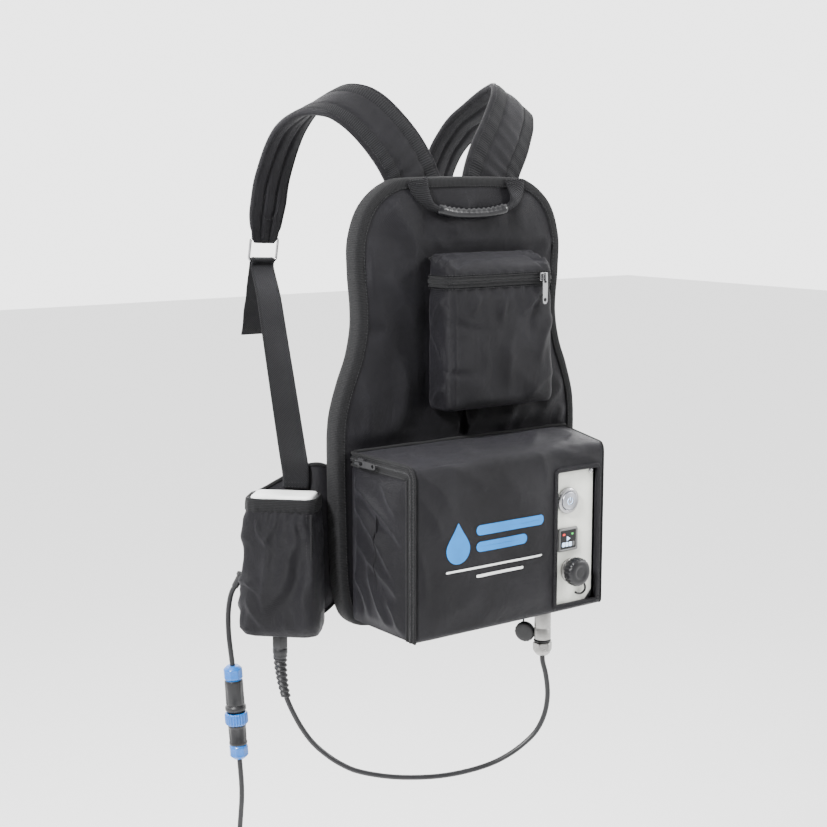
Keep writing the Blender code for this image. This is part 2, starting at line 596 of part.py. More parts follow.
def build_control_panel():
    left, right, low, high = PANEL_LEFT, PANEL_RIGHT, PANEL_LOW, PANEL_HIGH
    loop = rounded_rectangle((left, low), (right, high), 0.003, 2)
    loop = [p for p in loop if not (p[0] > right - 0.004 and p[1] < low + 0.004)]
    loop += [(right - 0.0095, low), (right, low + 0.0100)]
    panel = slab("control_plate", loop, PANEL_FRONT, PANEL_BACK, MATERIALS["panel"])
    back = Vector((0, 1, 0))
    start = Vector((0, PANEL_FRONT - 0.005, 0))
    cut(panel, rod("plate_button_hole", BUTTON_AT + start, back, 0.012, 0.0115, 24))
    cut(panel, rod("plate_charge_hole", CHARGE_AT + start, back, 0.012, 0.0098, 24))
    cut(panel, box("plate_display_hole", INDICATOR_AT + Vector((-0.0110, -0.142, -0.0100)),
                   INDICATOR_AT + Vector((0.0110, -0.130, 0.0100))))
    for i, at in enumerate(screw_places()):
        cut(panel, rod(f"plate_screw_hole_{i}", at + start, back, 0.012, 0.0017, 12))
        profile = [(0.0026, 0.0), (0.0029, 0.0005), (0.0029, 0.0011), (0.0014, 0.0011), (0.0014, 0.0065)]
        turned(f"plate_screw_{i + 1}", profile, at + Vector((0, PANEL_FRONT - GAP - 0.0011, 0)), back,
               MATERIALS["metal"], 16)


def build_button():
    front = Vector((0, -1, 0))
    face = BUTTON_AT + Vector((0, PANEL_FRONT - GAP, 0))
    profile = [(0.0110, -0.0220), (0.0110, 0.0), (BUTTON_RADIUS, 0.0), (BUTTON_RADIUS, 0.0022),
               (0.0125, 0.0036), (0.0102, 0.0036), (0.0102, -0.0012)]
    turned("button_bezel", profile, face, front, MATERIALS["metal"], 32)
    cap = [(0.0098, 0.0012), (0.0098, 0.0044), (0.0088, 0.0050)]
    turned("button_cap", cap, face, front, MATERIALS["white"], 32)


def build_indicator():
    at = INDICATOR_AT
    rings = []
    for half_x, half_z, y in ((0.0128, 0.0118, PANEL_FRONT - GAP - 0.0022),
                              (0.0136, 0.0126, PANEL_FRONT - GAP - 0.0012),
                              (0.0136, 0.0126, PANEL_FRONT - GAP),
                              (0.0105, 0.0095, PANEL_FRONT - GAP), (0.0105, 0.0095, -0.1240)):
        loop = rounded_rectangle((-half_x, -half_z), (half_x, half_z), 0.0015, 2)
        rings.append([(at.x + x, y, at.z + z) for x, z in loop])
    loft("battery_indicator", rings, MATERIALS["plastic"])


def build_charge_port():
    front = Vector((0, -1, 0))
    face = CHARGE_AT + Vector((0, PANEL_FRONT - GAP, 0))
    profile = [(0.0093, -0.0200), (0.0093, 0.0), (0.0130, 0.0), (0.0130, 0.0022), (0.0095, 0.0022),
               (0.0095, 0.0100), (0.0068, 0.0100), (0.0068, -0.0120)]
    turned("charge_socket", profile, face, front, MATERIALS["metal"], 24)
    cap = [(0.0099, 0.0112), (0.0099, 0.0064), (0.0140, 0.0064), (0.0152, 0.0074), (0.0152, 0.0150),
           (0.0125, 0.0182)]
    turned("charge_cap", cap, face, front, MATERIALS["rubber"], 32)
    y = face.y - 0.0043
    center = CHARGE_AT
    route = [(center.x + 0.0112 * cos(radians(a)), y, center.z + 0.0112 * sin(radians(a)))
             for a in range(170, -61, -30)]
    route += [(0.0755, y, -0.0890), (0.0815, y + 0.0004, -0.0935), (0.0825, y + 0.0010, -0.1000),
              (0.0770, y + 0.0018, -0.1035), (0.0700, y + 0.0024, -0.1010)]
    cord("cap_tether", route, 0.0011, MATERIALS["rubber"])


def build_outlet():
    down = Vector((0, 0, -1))
    at = Vector((OUTLET_X, OUTLET_Y, 0))
    socket = [(0.0080, 0.0990), (0.0080, 0.1123), (0.0115, 0.1123), (0.0115, 0.1148),
              (0.0085, 0.1148), (0.0085, 0.1205)]
    turned("outlet_socket", socket, at, down, MATERIALS["metal"], 24)
    plug = [(0.0085, 0.1208), (OUTLET_RADIUS, 0.1215), (OUTLET_RADIUS, 0.1540), (0.0080, 0.1555),
            (0.0080, 0.1568)]
    turned("outlet_plug", plug, at, down, MATERIALS["metal"], 24)
    nut = [(0.0092, 0.1571), (0.0102, 0.1585), (0.0102, 0.1660), (0.0060, 0.1718)]
    turned("outlet_nut", nut, at, down, MATERIALS["metal"], 6)
    cap_axis = Vector((-0.80, -0.45, -0.10))
    cap_at = Vector((OUTLET_X - 0.0100, OUTLET_Y + 0.0180, -0.1500))
    turned("outlet_dust_cap", [(0.0095, 0.0), (0.0110, 0.0010), (0.0110, 0.0060), (0.0095, 0.0070)],
           cap_at, cap_axis, MATERIALS["rubber"], 20)


# ---------------------------------------------------------------- hip pouch and controller
def wing_ring(z, low, high, radius):
    """Plan outline given as (along, out) corners on the left wing."""
    return [on_wing(a, o, z) for a, o in rounded_rectangle(low, high, radius, 3)]


def build_pouch():
    rings = [wing_ring(-0.1290, (0.0150, 0.0070), (0.0860, 0.0410), 0.010),
             wing_ring(-0.1220, (0.0075, 0.0024), (0.0930, 0.0465), 0.012),
             wing_ring(-0.0550, (0.0090, 0.0024), (0.0895, 0.0465), 0.012),
             wing_ring(0.0160, (0.0115, 0.0024), (0.0845, 0.0440), 0.012),
             wing_ring(0.0160, (0.0137, 0.0042), (0.0823, 0.0418), 0.010),
             wing_ring(-0.0550, (0.0112, 0.0042), (0.0873, 0.0443), 0.010),
             wing_ring(-0.1240, (0.0137, 0.0042), (0.0873, 0.0443), 0.010)]
    pouch = loft("pouch_bag", rings, MATERIALS["fabric"])
    down = Vector((0, 0, -1))
    relief = on_wing(0.055, 0.0200, -0.1150)
    cut(pouch, rod("pouch_relief_hole", relief, down, 0.030, 0.0088))
    rings = [wing_ring(z, (0.0155, 0.0052), (0.0800, 0.0395), 0.006) for z in (-0.1115, 0.0190)]
    loft("controller_box", rings, MATERIALS["white"])

    # strain relief: hexagonal gland, then a ribbed sleeve that leans towards the cable
    profile = [(relief, 0.0060, -0.1118), (relief, 0.0060, -0.1365), (relief, 0.0080, -0.1370),
               (relief, 0.0080, -0.1500), (relief, 0.0068, -0.1530)]
    rings = []
    first, second = Vector((1, 0, 0)), Vector((0, 1, 0))
    sides = [2 * pi * k / 10 for k in range(10)]
    for center, radius, z in profile:
        middle = Vector((center.x, center.y, z))
        rings.append([middle + (first * cos(a) + second * sin(a)) * radius for a in sides])
    turns = 7
    for i in range(2 * turns + 1):
        t = i / (2 * turns)
        radius = (0.0073 if i % 2 == 0 else 0.0060) - 0.0012 * t
        middle = Vector((relief.x + 0.0030 * t * t, relief.y - 0.0050 * t * t, -0.1545 - 0.0430 * t))
        rings.append([middle + (first * cos(a) + second * sin(a)) * radius for a in sides])
    loft("pouch_strain_relief", rings, MATERIALS["rubber"])

    slant = Vector((-0.717 * 0.5, 0.697 * 0.5, -0.866))
    turned("lead_grommet", [(0.0055, 0.0), (0.0055, 0.0025), (0.0042, 0.0030), (0.0036, 0.0160)],
           on_wing(0.0957, 0.0140, -0.0700), slant, MATERIALS["rubber"], 12)


# ---------------------------------------------------------------- cords
LOOP_ROUTE = [(0.0460, -0.1150, -0.1721), (0.0466, -0.1154, -0.1800), (0.0490, -0.1175, -0.1930),
              (0.0507, -0.1188, -0.2080), (0.0507, -0.1190, -0.2220), (0.0480, -0.1180, -0.2380),
              (0.0420, -0.1152, -0.2530), (0.0330, -0.1110, -0.2650), (0.0150, -0.1030, -0.2795),
              (-0.0075, -0.0930, -0.2905), (-0.0370, -0.0795, -0.2975), (-0.0680, -0.0655, -0.2995),
              (-0.1050, -0.0490, -0.2960), (-0.1380, -0.0345, -0.2870), (-0.1560, -0.0265, -0.2770),
              (-0.1705, -0.0195, -0.2650), (-0.1840, -0.0135, -0.2500), (-0.1945, -0.0085, -0.2325),
              (-0.2020, -0.0050, -0.2160), (-0.2060, -0.0026, -0.2050), (-0.2079, -0.0013, -0.1989)]
LEAD_UPPER_ROUTE = [(-0.2423, 0.0424, -0.0843), (-0.2440, 0.0441, -0.0885), (-0.2458, 0.0453, -0.0950),
                    (-0.2475, 0.0457, -0.1040), (-0.2488, 0.0453, -0.1140), (-0.2495, 0.0444, -0.1240),
                    (-0.2497, 0.0433, -0.1350), (-0.2493, 0.0421, -0.1460), (-0.2485, 0.0411, -0.1570),
                    (-0.2477, 0.0403, -0.1677)]
LEAD_LOWER_ROUTE = [(-0.2433, 0.0371, -0.2697), (-0.2428, 0.0367, -0.2800), (-0.2422, 0.0362, -0.2920),
                    (-0.2419, 0.0360, -0.3040), (-0.2421, 0.0361, -0.3160), (-0.2428, 0.0366, -0.3280),
                    (-0.2436, 0.0372, -0.3400), (-0.2443, 0.0377, -0.3520), (-0.2445, 0.0378, -0.3640)]
CONNECTOR_TOP = Vector((-0.2477, 0.0403, -0.1680))
CONNECTOR_LOW = Vector((-0.2433, 0.0371, -0.2694))


def build_connector():
    """Waterproof in-line connector: gland nut, plug body, coupling ring, socket body, gland nut."""
    axis = (CONNECTOR_LOW - CONNECTOR_TOP).normalized()
    at = CONNECTOR_TOP
    nut = ((0.0072, 0.0), (0.0104, 0.0030), (0.0104, 0.0120), (0.0088, 0.0150))
    turned("connector_nut_upper", nut, at, axis, MATERIALS["blue"], 8)
    plug = [(0.0092, 0.0153), (0.0096, 0.0165), (0.0098, 0.0400), (0.0090, 0.0430), (0.0110, 0.0440),
            (0.0110, 0.0470), (0.0094, 0.0475), (0.0094, 0.0500)]
    turned("connector_plug", plug, at, axis, MATERIALS["plastic"], 20)
    ring = [(0.0075, 0.0503), (0.0105, 0.0503), (0.0119, 0.0520), (0.0119, 0.0620), (0.0105, 0.0636),
            (0.0075, 0.0636)]
    turned("coupling_ring", ring, at, axis, MATERIALS["blue"], 24, closed=True)
    socket = [(0.0070, 0.0510), (0.0070, 0.0639), (0.0094, 0.0639), (0.0090, 0.0855)]
    turned("connector_socket", socket, at, axis, MATERIALS["plastic"], 20)
    nut = [(radius, 0.0858 + 0.0150 - along) for radius, along in reversed(nut)]
    turned("connector_nut_lower", nut, at, axis, MATERIALS["blue"], 8)


def build_cords():
    radius = CORD_DIAMETER / 2
    cord("loop_cable", LOOP_ROUTE, radius, MATERIALS["rubber"])
    cord("lead_upper", LEAD_UPPER_ROUTE, radius, MATERIALS["rubber"])
    cord("lead_lower", LEAD_LOWER_ROUTE, radius, MATERIALS["rubber"])

    # hank: the rest of the lead, folded up and down and tied, hanging below the connector
    half = HANK_WIDTH / 2
    run = half - radius
    layers = HANK_DEPTH / 2 - 0.0038
    x, y, top = -0.2445 - run, 0.0378 + layers, -0.3645
    loop = rounded_rectangle((x - half, top - HANK_LENGTH), (x + half, top), half - 0.0001, 6)
    slab("lead_hank", loop, y - HANK_DEPTH / 2, y + HANK_DEPTH / 2, MATERIALS["rubber"])
    low = top - HANK_LENGTH - GAP
    plug = [(0.0068, 0.0), (0.0100, 0.0020), (0.0100, 0.0110), (0.0088, 0.0130), (0.0094, 0.0135),
            (0.0094, 0.0330), (0.0080, 0.0340), (0.0080, 0.0420)]
    last_run = Vector((x + run, y + layers, low))
    turned("end_plug", plug, last_run, Vector((0, 0, -1)), MATERIALS["plastic"], 20)


# ---------------------------------------------------------------- assembly
for old in list(bpy.data.objects):
    bpy.data.objects.remove(old)

MATERIALS = make_materials()
build_plate()
for side_name, side_sign in (("left", -1), ("right", 1)):
    build_strap(side_name, side_sign)
    build_wing(side_name, side_sign)
build_handle()
build_buckle()
build_pocket()
build_zip_pull("pocket", Vector((0.078, POCKET_FRONT - 0.0017, POCKET_SEAM + 0.0017)),
               Vector((-1, 0, 0)), Vector((0, -1, 0)), Vector((0, 0, -1)))
build_case()
build_zip_pull("case", Vector((DOOR_OUT - 0.0005, -0.0560, CASE_TOP - ZIP_BAND / 2)),
               Vector((0, -1, 0)), Vector((-1, 0, 0)), Vector((0, -1, 0)))
build_housing()
build_control_panel()
build_button()
build_indicator()
build_charge_port()
build_outlet()
build_pouch()
build_connector()
build_cords()
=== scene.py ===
"""Looks for the battery back harness: camera, light, cords, and a detailed piece for each soft part."""
import bpy
import bmesh
from math import cos, sin, radians, pi, hypot, sqrt, exp
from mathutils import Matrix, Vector, noise


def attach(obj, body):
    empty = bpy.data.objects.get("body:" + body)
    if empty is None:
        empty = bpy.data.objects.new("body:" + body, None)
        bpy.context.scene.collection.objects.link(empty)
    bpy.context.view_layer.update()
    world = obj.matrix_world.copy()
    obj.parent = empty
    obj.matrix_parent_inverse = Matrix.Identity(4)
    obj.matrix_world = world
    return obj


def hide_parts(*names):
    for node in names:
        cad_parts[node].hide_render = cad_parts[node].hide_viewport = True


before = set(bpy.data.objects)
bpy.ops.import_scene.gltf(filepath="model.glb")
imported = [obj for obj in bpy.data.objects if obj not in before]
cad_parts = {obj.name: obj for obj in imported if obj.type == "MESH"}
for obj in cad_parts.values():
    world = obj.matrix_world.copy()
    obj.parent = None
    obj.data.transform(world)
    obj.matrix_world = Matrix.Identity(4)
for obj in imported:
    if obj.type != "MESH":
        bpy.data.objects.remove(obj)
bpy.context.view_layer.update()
UP = Vector((0, 0, 1))
FRONT = Vector((0, -1, 0))
WEARER_LEFT = Vector((-1, 0, 0))


# ---------------------------------------------------------------- camera and light
def add_camera():
    data = bpy.data.cameras.new("camera")
    data.lens = 66.366
    camera = bpy.data.objects.new("camera", data)
    camera.location = (-1.0074, -1.3072, 0.345)
    camera.rotation_euler = (radians(90 - 9.0845), 0, radians(-36.452))
    bpy.context.collection.objects.link(camera)
    bpy.context.scene.camera = camera


def add_area_light(name, location, target, size, power):
    data = bpy.data.lights.new(name, "AREA")
    data.shape = "DISK"
    data.size = size
    data.energy = power
    light = bpy.data.objects.new(name, data)
    light.location = location
    light.rotation_euler = (Vector(target) - Vector(location)).to_track_quat("-Z", "Y").to_euler()
    bpy.context.collection.objects.link(light)


def add_studio():
    world = bpy.data.worlds.new("studio")
    world.use_nodes = True
    nodes, links = world.node_tree.nodes, world.node_tree.links
    background = nodes["Background"]
    background.inputs["Color"].default_value = (1, 1, 1, 1)
    where = nodes.new("ShaderNodeTexCoord")
    toward = nodes.new("ShaderNodeVectorMath")
    toward.operation = "DOT_PRODUCT"
    toward.inputs[1].default_value = (0.59, 0.80, 0.0)
    sweep = nodes.new("ShaderNodeMapRange")
    sweep.interpolation_type = "SMOOTHSTEP"
    for socket, value in (("From Min", -1.0), ("From Max", 0.6), ("To Min", 0.35), ("To Max", 3.4)):
        sweep.inputs[socket].default_value = value
    links.new(where.outputs["Generated"], toward.inputs[0])
    links.new(toward.outputs["Value"], sweep.inputs["Value"])
    links.new(sweep.outputs["Result"], background.inputs["Strength"])
    bpy.context.scene.world = world
    add_area_light("key", (-2.0, -0.75, 1.6), (0, 0, 0.05), 0.4, 190)
    add_area_light("side", (1.7, -1.2, 0.9), (0, 0, 0.05), 0.5, 36)
    add_area_light("rim", (-1.0, 1.7, 1.5), (0, 0, 0.1), 0.8, 30)
    add_area_light("back_rim", (1.4, 1.6, 1.2), (0, 0, 0.1), 0.8, 30)
    mesh = bpy.data.meshes.new("floor")
    size, level = 14.0, -1.1
    corners = [(-size, -size, level), (size, -size, level), (size, size, level), (-size, size, level)]
    mesh.from_pydata(corners, [], [(0, 1, 2, 3)])
    floor = bpy.data.objects.new("floor", mesh)
    mesh.materials.append(Graph("pale floor", (0.92, 0.92, 0.92), 0.9).material)
    bpy.context.collection.objects.link(floor)


# ---------------------------------------------------------------- materials
class Graph:
    """A Principled material with a chain of bumps and coordinates in metres."""

    def __init__(self, name, color, roughness, metallic=0.0, coords="object"):
        self.material = bpy.data.materials.new(name)
        self.material.use_nodes = True
        self.tree = self.material.node_tree
        self.shader = self.tree.nodes["Principled BSDF"]
        self.normal = None
        self.put("Base Color", (*color, 1.0))
        self.put("Roughness", roughness)
        self.put("Metallic", metallic)
        if coords == "uv":
            source = self.add("UVMap").outputs[0]
        else:
            source = self.add("TexCoord").outputs["Object"]
        self.point = source
        split = self.add("SeparateXYZ")
        self.tree.links.new(source, split.inputs[0])
        x, y, z = split.outputs
        if coords == "uv":
            self.u, self.v = x, y
        else:
            lean = self.math("MULTIPLY", y, 0.7)
            self.u, self.v = self.math("ADD", x, lean), self.math("ADD", z, lean)

    def add(self, kind):
        return self.tree.nodes.new("ShaderNode" + kind)

    def feed(self, socket, value):
        """Link a node's output to a socket, or give the socket a plain value."""
        if isinstance(value, bpy.types.NodeSocket):
            self.tree.links.new(value, socket)
        else:
            socket.default_value = value

    def put(self, socket, value):
        self.feed(self.shader.inputs[socket], value)

    def math(self, operation, first, second=0.0):
        item = self.add("Math")
        item.operation = operation
        for socket, value in zip(item.inputs, (first, second)):
            self.feed(socket, value)
        return item.outputs[0]

    def waves(self, along, pitch):
        return self.math("SINE", self.math("MULTIPLY", along, 2 * pi / pitch))

    def weave(self, pitch):
        return self.math("MULTIPLY", self.waves(self.u, pitch), self.waves(self.v, pitch))

    def noise(self, scale, detail=2.0, distortion=0.0, low=0.35, high=0.65):
        item = self.add("TexNoise")
        item.inputs["Scale"].default_value = scale
        item.inputs["Detail"].default_value = detail
        item.inputs["Distortion"].default_value = distortion
        self.tree.links.new(self.point, item.inputs["Vector"])
        limits = self.add("MapRange")
        limits.inputs["From Min"].default_value = low
        limits.inputs["From Max"].default_value = high
        self.tree.links.new(item.outputs[0], limits.inputs["Value"])
        return limits.outputs[0]

    def mix(self, factor, first, second):
        item = self.add("Mix")
        item.data_type = "RGBA"
        self.feed(item.inputs[0], factor)
        self.feed(item.inputs[6], (*first, 1.0))
        self.feed(item.inputs[7], (*second, 1.0))
        return item.outputs[2]

    def bump(self, height, distance, strength=1.0):
        item = self.add("Bump")
        item.inputs["Distance"].default_value = distance
        item.inputs["Strength"].default_value = strength
        self.tree.links.new(height, item.inputs["Height"])
        if self.normal:
            self.tree.links.new(self.normal, item.inputs["Normal"])
        self.normal = item.outputs[0]
        self.put("Normal", self.normal)


def fabric(name, dark, light, pitch=0.0012, coords="object", roughness=0.62, folds=0.0, twill=False,
           sheen=0.04, depth=0.00016):
    """Woven cloth: thread relief, a painted highlight on the thread tops, dusty patches and soft small folds.
    """
    graph = Graph(name, dark, roughness, coords=coords)
    threads = graph.weave(pitch)
    if twill:
        slant = graph.math("ADD", graph.u, graph.v)
        threads = graph.math("MULTIPLY", graph.waves(slant, pitch), 0.8)
    # Painted highlight: thread tops are coloured towards the lighter colour as if lit; the patches noise is
    # random tone.
    tops = graph.math("MULTIPLY", graph.math("ADD", threads, 1.0), 0.5)
    patches = graph.noise(13.0, 4.0)
    thread_highlight_and_patches = graph.math("MULTIPLY", tops, graph.math("ADD", graph.math("MULTIPLY", patches, 0.6), 0.4))
    graph.put("Base Color", graph.mix(thread_highlight_and_patches, dark, light))
    graph.put("Roughness", graph.math("ADD", graph.math("MULTIPLY", patches, -0.12), roughness))
    if folds:
        graph.bump(graph.noise(28.0, 3.0, 0.9, 0.2, 0.8), folds, 0.8)
    graph.bump(threads, depth)
    graph.put("Specular IOR Level", 0.15)
    graph.put("Sheen Weight", sheen)
    graph.put("Sheen Roughness", 0.45)
    graph.put("Sheen Tint", (0.75, 0.74, 0.82, 1.0))
    return graph.material


def ribbed_tape(name, dark, light, pitch):
    """Grosgrain tape: ribs across the tape, along the piece's own length, with a painted highlight on each
    rib's top.
    """
    graph = Graph(name, dark, 0.8, coords="uv")
    ribs = graph.waves(graph.v, pitch)
    cross = graph.waves(graph.u, pitch * 0.6)
    height = graph.math("ADD", ribs, graph.math("MULTIPLY", cross, 0.3))
    # Painted highlight: each rib's top is coloured towards the lighter colour as if lit.
    tops = graph.math("MULTIPLY", graph.math("ADD", ribs, 1.0), 0.5)
    graph.put("Base Color", graph.mix(tops, dark, light))
    graph.bump(height, 0.00018)
    graph.put("Specular IOR Level", 0.2)
    graph.put("Sheen Weight", 0.03)
    return graph.material


def moulded(name, color, roughness, grain=0.00004, scale=900.0, coat=0.0):
    graph = Graph(name, color, roughness)
    patches = graph.noise(30.0, 3.0)
    graph.put("Roughness", graph.math("ADD", graph.math("MULTIPLY", patches, 0.10), roughness - 0.05))
    light = tuple(c * 1.25 + 0.004 for c in color)
    graph.put("Base Color", graph.mix(patches, color, light))
    graph.bump(graph.noise(scale, 1.0, 0.0, 0.3, 0.7), grain)
    graph.put("Coat Weight", coat)
    if max(color) < 0.02:
        graph.put("Specular IOR Level", 0.32)
    return graph.material


def metal(name, color, roughness, brushed=0.0):
    graph = Graph(name, color, roughness, 1.0)
    patches = graph.noise(60.0, 4.0)
    graph.put("Roughness", graph.math("ADD", graph.math("MULTIPLY", patches, 0.12), roughness))
    graph.put("Base Color", graph.mix(patches, color, tuple(c * 0.85 for c in color)))
    if brushed:
        graph.bump(graph.waves(graph.v, 0.0004), brushed)
    return graph.material


def glowing(name, color, strength):
    graph = Graph(name, color, 0.4)
    graph.put("Emission Color", (*color, 1.0))
    graph.put("Emission Strength", strength)
    graph.bump(graph.noise(500.0), 0.00001)
    return graph.material


def make_materials():
    # The second colour of each cloth, tape and webbing is the painted highlight colour of its thread or rib
    # tops.
    black, grey = (0.0022, 0.0020, 0.0026), (0.0098, 0.0093, 0.0120)
    return {
        "fabric": fabric("nylon cloth", black, grey, 0.0013, folds=0.0016),
        "strap": fabric("strap cloth", black, (0.012, 0.0115, 0.014), 0.0012, coords="uv", folds=0.0008),
        "mesh": fabric("spacer mesh", (0.0025, 0.0025, 0.003), (0.018, 0.018, 0.020), 0.0026, depth=0.0004,
                       roughness=0.85),
        "tape": ribbed_tape("binding tape", (0.0022, 0.0022, 0.0025), (0.0085, 0.0085, 0.0095), 0.0017),
        "band": ribbed_tape("ribbed side band", (0.0025, 0.0025, 0.003), (0.0105, 0.0105, 0.012), 0.0022),
        "webbing": fabric("webbing", (0.0025, 0.0025, 0.003), (0.012, 0.012, 0.0135), 0.0024, coords="uv",
                          twill=True, depth=0.0004, roughness=0.7),
        "thread": moulded("black thread", (0.007, 0.007, 0.008), 0.6),
        "rubber": moulded("black rubber", (0.009, 0.009, 0.010), 0.42, 0.00003),
        "cable": moulded("cable sheath", (0.010, 0.010, 0.011), 0.36, 0.00002, 1500.0),
        "plastic": moulded("black nylon plastic", (0.010, 0.010, 0.011), 0.33, 0.00004),
        "grip": moulded("glossy grip rubber", (0.004, 0.004, 0.005), 0.22, 0.00002),
        "blue": moulded("blue nylon plastic", (0.001, 0.095, 0.36), 0.32, 0.00003, coat=0.2),
        "white": moulded("white controller plastic", (0.66, 0.67, 0.66), 0.42, 0.00003),
        "panel": moulded("powder coated panel", (0.60, 0.61, 0.56), 0.38, 0.00005, 1400.0),
        "steel": metal("plated steel", (0.42, 0.42, 0.43), 0.22),
        "satin": metal("satin nickel", (0.30, 0.295, 0.285), 0.24, 0.00002),
        "aluminium": metal("anodised aluminium", (0.16, 0.16, 0.17), 0.38, 0.00002),
        "cap": metal("silver switch cap", (0.40, 0.41, 0.45), 0.34),
        "screen": moulded("display window", (0.004, 0.004, 0.005), 0.12, 0.00001),
        "frame": moulded("grey display frame", (0.10, 0.10, 0.10), 0.4),
        "lit": glowing("lit symbol", (0.55, 0.70, 0.95), 1.2),
        "red": glowing("red light", (0.75, 0.03, 0.02), 0.7),
        "green": glowing("green light", (0.03, 0.50, 0.08), 0.5),
        "board": moulded("circuit board", (0.01, 0.10, 0.04), 0.4),
        "cell": moulded("battery wrap", (0.03, 0.06, 0.14), 0.35),
        "print": moulded("blue ink", (0.0, 0.155, 0.46), 0.75),
    }


# ---------------------------------------------------------------- mesh tools
STITCH_PITCH, STITCH_LENGTH, STITCH_RADIUS = 0.0034, 0.0023, 0.00042


def metres(rows):
    """Rows of millimetres in metres."""
    return [tuple(round(value / 1000, 8) for value in row) for row in rows]


def circle(count):
    """Angles evenly spaced round a circle."""
    return [2 * pi * k / count for k in range(count)]


def beside(items, i, closed=False):
    """The items before and after item i; an open end has that end itself instead."""
    if closed:
        return items[i - 1], items[(i + 1) % len(items)]
    return items[max(i - 1, 0)], items[min(i + 1, len(items) - 1)]


def finish_piece(name, builder, materials, body, replaced=()):
    mesh = bpy.data.meshes.new(name)
    builder.to_mesh(mesh)
    builder.free()
    mesh.shade_smooth()
    for material in materials:
        mesh.materials.append(LOOK[material])
    piece = bpy.data.objects.new(name, mesh)
    bpy.context.collection.objects.link(piece)
    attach(piece, body)
    if replaced:
        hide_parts(*replaced)
    return piece


def spline(points, steps, closed=False):
    """Catmull-Rom curve through rows of numbers."""
    count = len(points)
    result = []
    for i in range(count if closed else count - 1):
        if closed:
            a, b, c, d = (points[(i + k - 1) % count] for k in range(4))
        else:
            a, b, c, d = (points[min(max(i + k - 1, 0), count - 1)] for k in range(4))
        for step in range(steps):
            t = step / steps
            result.append([0.5 * (2 * q + (r - p) * t + (2 * p - 5 * q + 4 * r - s) * t * t
                                  + (3 * q - p - 3 * r + s) * t * t * t)
                           for p, q, r, s in zip(a, b, c, d)])
    if not closed:
        result.append(list(points[-1]))
    return result


def stations(breaks, step):
    """Values from the first break to the last, about a step apart, that include each break."""
    values = [breaks[0]]
    for low, high in zip(breaks, breaks[1:]):
        count = max(1, round(abs(high - low) / step))
        values += [low + (high - low) * (i + 1) / count for i in range(count)]
    return values


def rounded_rectangle(low, high, radius, arc_steps=5, step=None):
    """Anticlockwise loop of (u, v) points with round corners, its straights cut every step."""
    corners = [(high[0] - radius, high[1] - radius, 0), (low[0] + radius, high[1] - radius, 90),
               (low[0] + radius, low[1] + radius, 180), (high[0] - radius, low[1] + radius, 270)]
    arcs = [[(u + radius * cos(radians(start + 90 * i / arc_steps)),
              v + radius * sin(radians(start + 90 * i / arc_steps)))
             for i in range(arc_steps + 1)] for u, v, start in corners]
    loop = []
    for arc, after in zip(arcs, arcs[1:] + arcs[:1]):
        loop += arc
        if step:
            (u, v), (p, q) = arc[-1], after[0]
            count = max(1, round(hypot(p - u, q - v) / step))
            loop += [(u + (p - u) * i / count, v + (q - v) * i / count) for i in range(1, count)]
    return loop


def smooth_noise(point, scale, seed=0.0):
    return noise.noise(Vector(point) * scale + Vector((seed, seed * 0.7, -seed)))


def ridged(point, scale, seed=0.0):
    """Noise with sharp crests, like folds in cloth."""
    return 1.0 - 2.0 * abs(smooth_noise(point, scale, seed))


def step_between(value, low, high):
    t = min(max((value - low) / (high - low), 0.0), 1.0)
    return t * t * (3 - 2 * t)


def creases(u, v, lines):
    """Height of listed folds; each is (u, v, end u, end v, height, width), in metres."""
    past_ends, wander, turns, softness = 0.25, 0.7, 3.6, 1.6
    total = 0.0
    for au, av, bu, bv, height, width in lines:
        du, dv = bu - au, bv - av
        span = hypot(du, dv)
        t = ((u - au) * du + (v - av) * dv) / (span * span)
        if -past_ends < t < 1 + past_ends:
            off = ((u - au) * dv - (v - av) * du) / span + width * wander * sin(turns * t + 90 * au)
            fade = step_between(t, -0.2, 0.3) * step_between(t, 1.2, 0.65)
            total += height * fade * exp(-abs(off / width) ** softness)
    return total


def loft(name, rings, materials, body="harness", bands=None, ring_closed=True, path_closed=False,
         caps=(True, True), thickness=0.0, skip=None, **options):
    """Bridge rings of points. UVs hold metres round the ring and along the path; bands gives each
    ring segment's material index, and skip(i, j) leaves a face out."""
    builder = bmesh.new()
    layer = builder.loops.layers.uv.new("UVMap")
    rows = [[builder.verts.new(point) for point in ring] for ring in rings]
    count = len(rows[0])
    middle = len(rings) // 2
    across = [0.0]
    for j in range(count):
        across.append(across[-1] + (Vector(rings[middle][(j + 1) % count])
                                    - Vector(rings[middle][j])).length)
    along = [0.0]
    for low, high in zip(rings, rings[1:] + rings[:1]):
        along.append(along[-1] + (sum((Vector(p) for p in high), Vector())
                                  - sum((Vector(p) for p in low), Vector())).length / count)
    for i in range(len(rows) if path_closed else len(rows) - 1):
        low, high = rows[i], rows[(i + 1) % len(rows)]
        for j in range(count if ring_closed else count - 1):
            if skip and skip(i, j):
                continue
            k = (j + 1) % count
            face = builder.faces.new((low[j], low[k], high[k], high[j]))
            face.material_index = bands[j] if bands else 0
            for corner, uv in zip(face.loops, ((across[j], along[i]), (across[j + 1], along[i]),
                                               (across[j + 1], along[i + 1]),
                                               (across[j], along[i + 1]))):
                corner[layer].uv = uv
    if ring_closed and not path_closed:
        for row, wanted in ((rows[0], caps[0]), (rows[-1], caps[1])):
            if wanted:
                close_ring(builder, row, layer)
    loose = [vert for vert in builder.verts if not vert.link_faces]
    bmesh.ops.delete(builder, geom=loose, context="VERTS")
    bmesh.ops.recalc_face_normals(builder, faces=builder.faces)
    piece = finish_piece(name, builder, materials, body, **options)
    if thickness:
        solidify = piece.modifiers.new("thickness", "SOLIDIFY")
        solidify.thickness = thickness
        solidify.offset = -1.0
    return piece


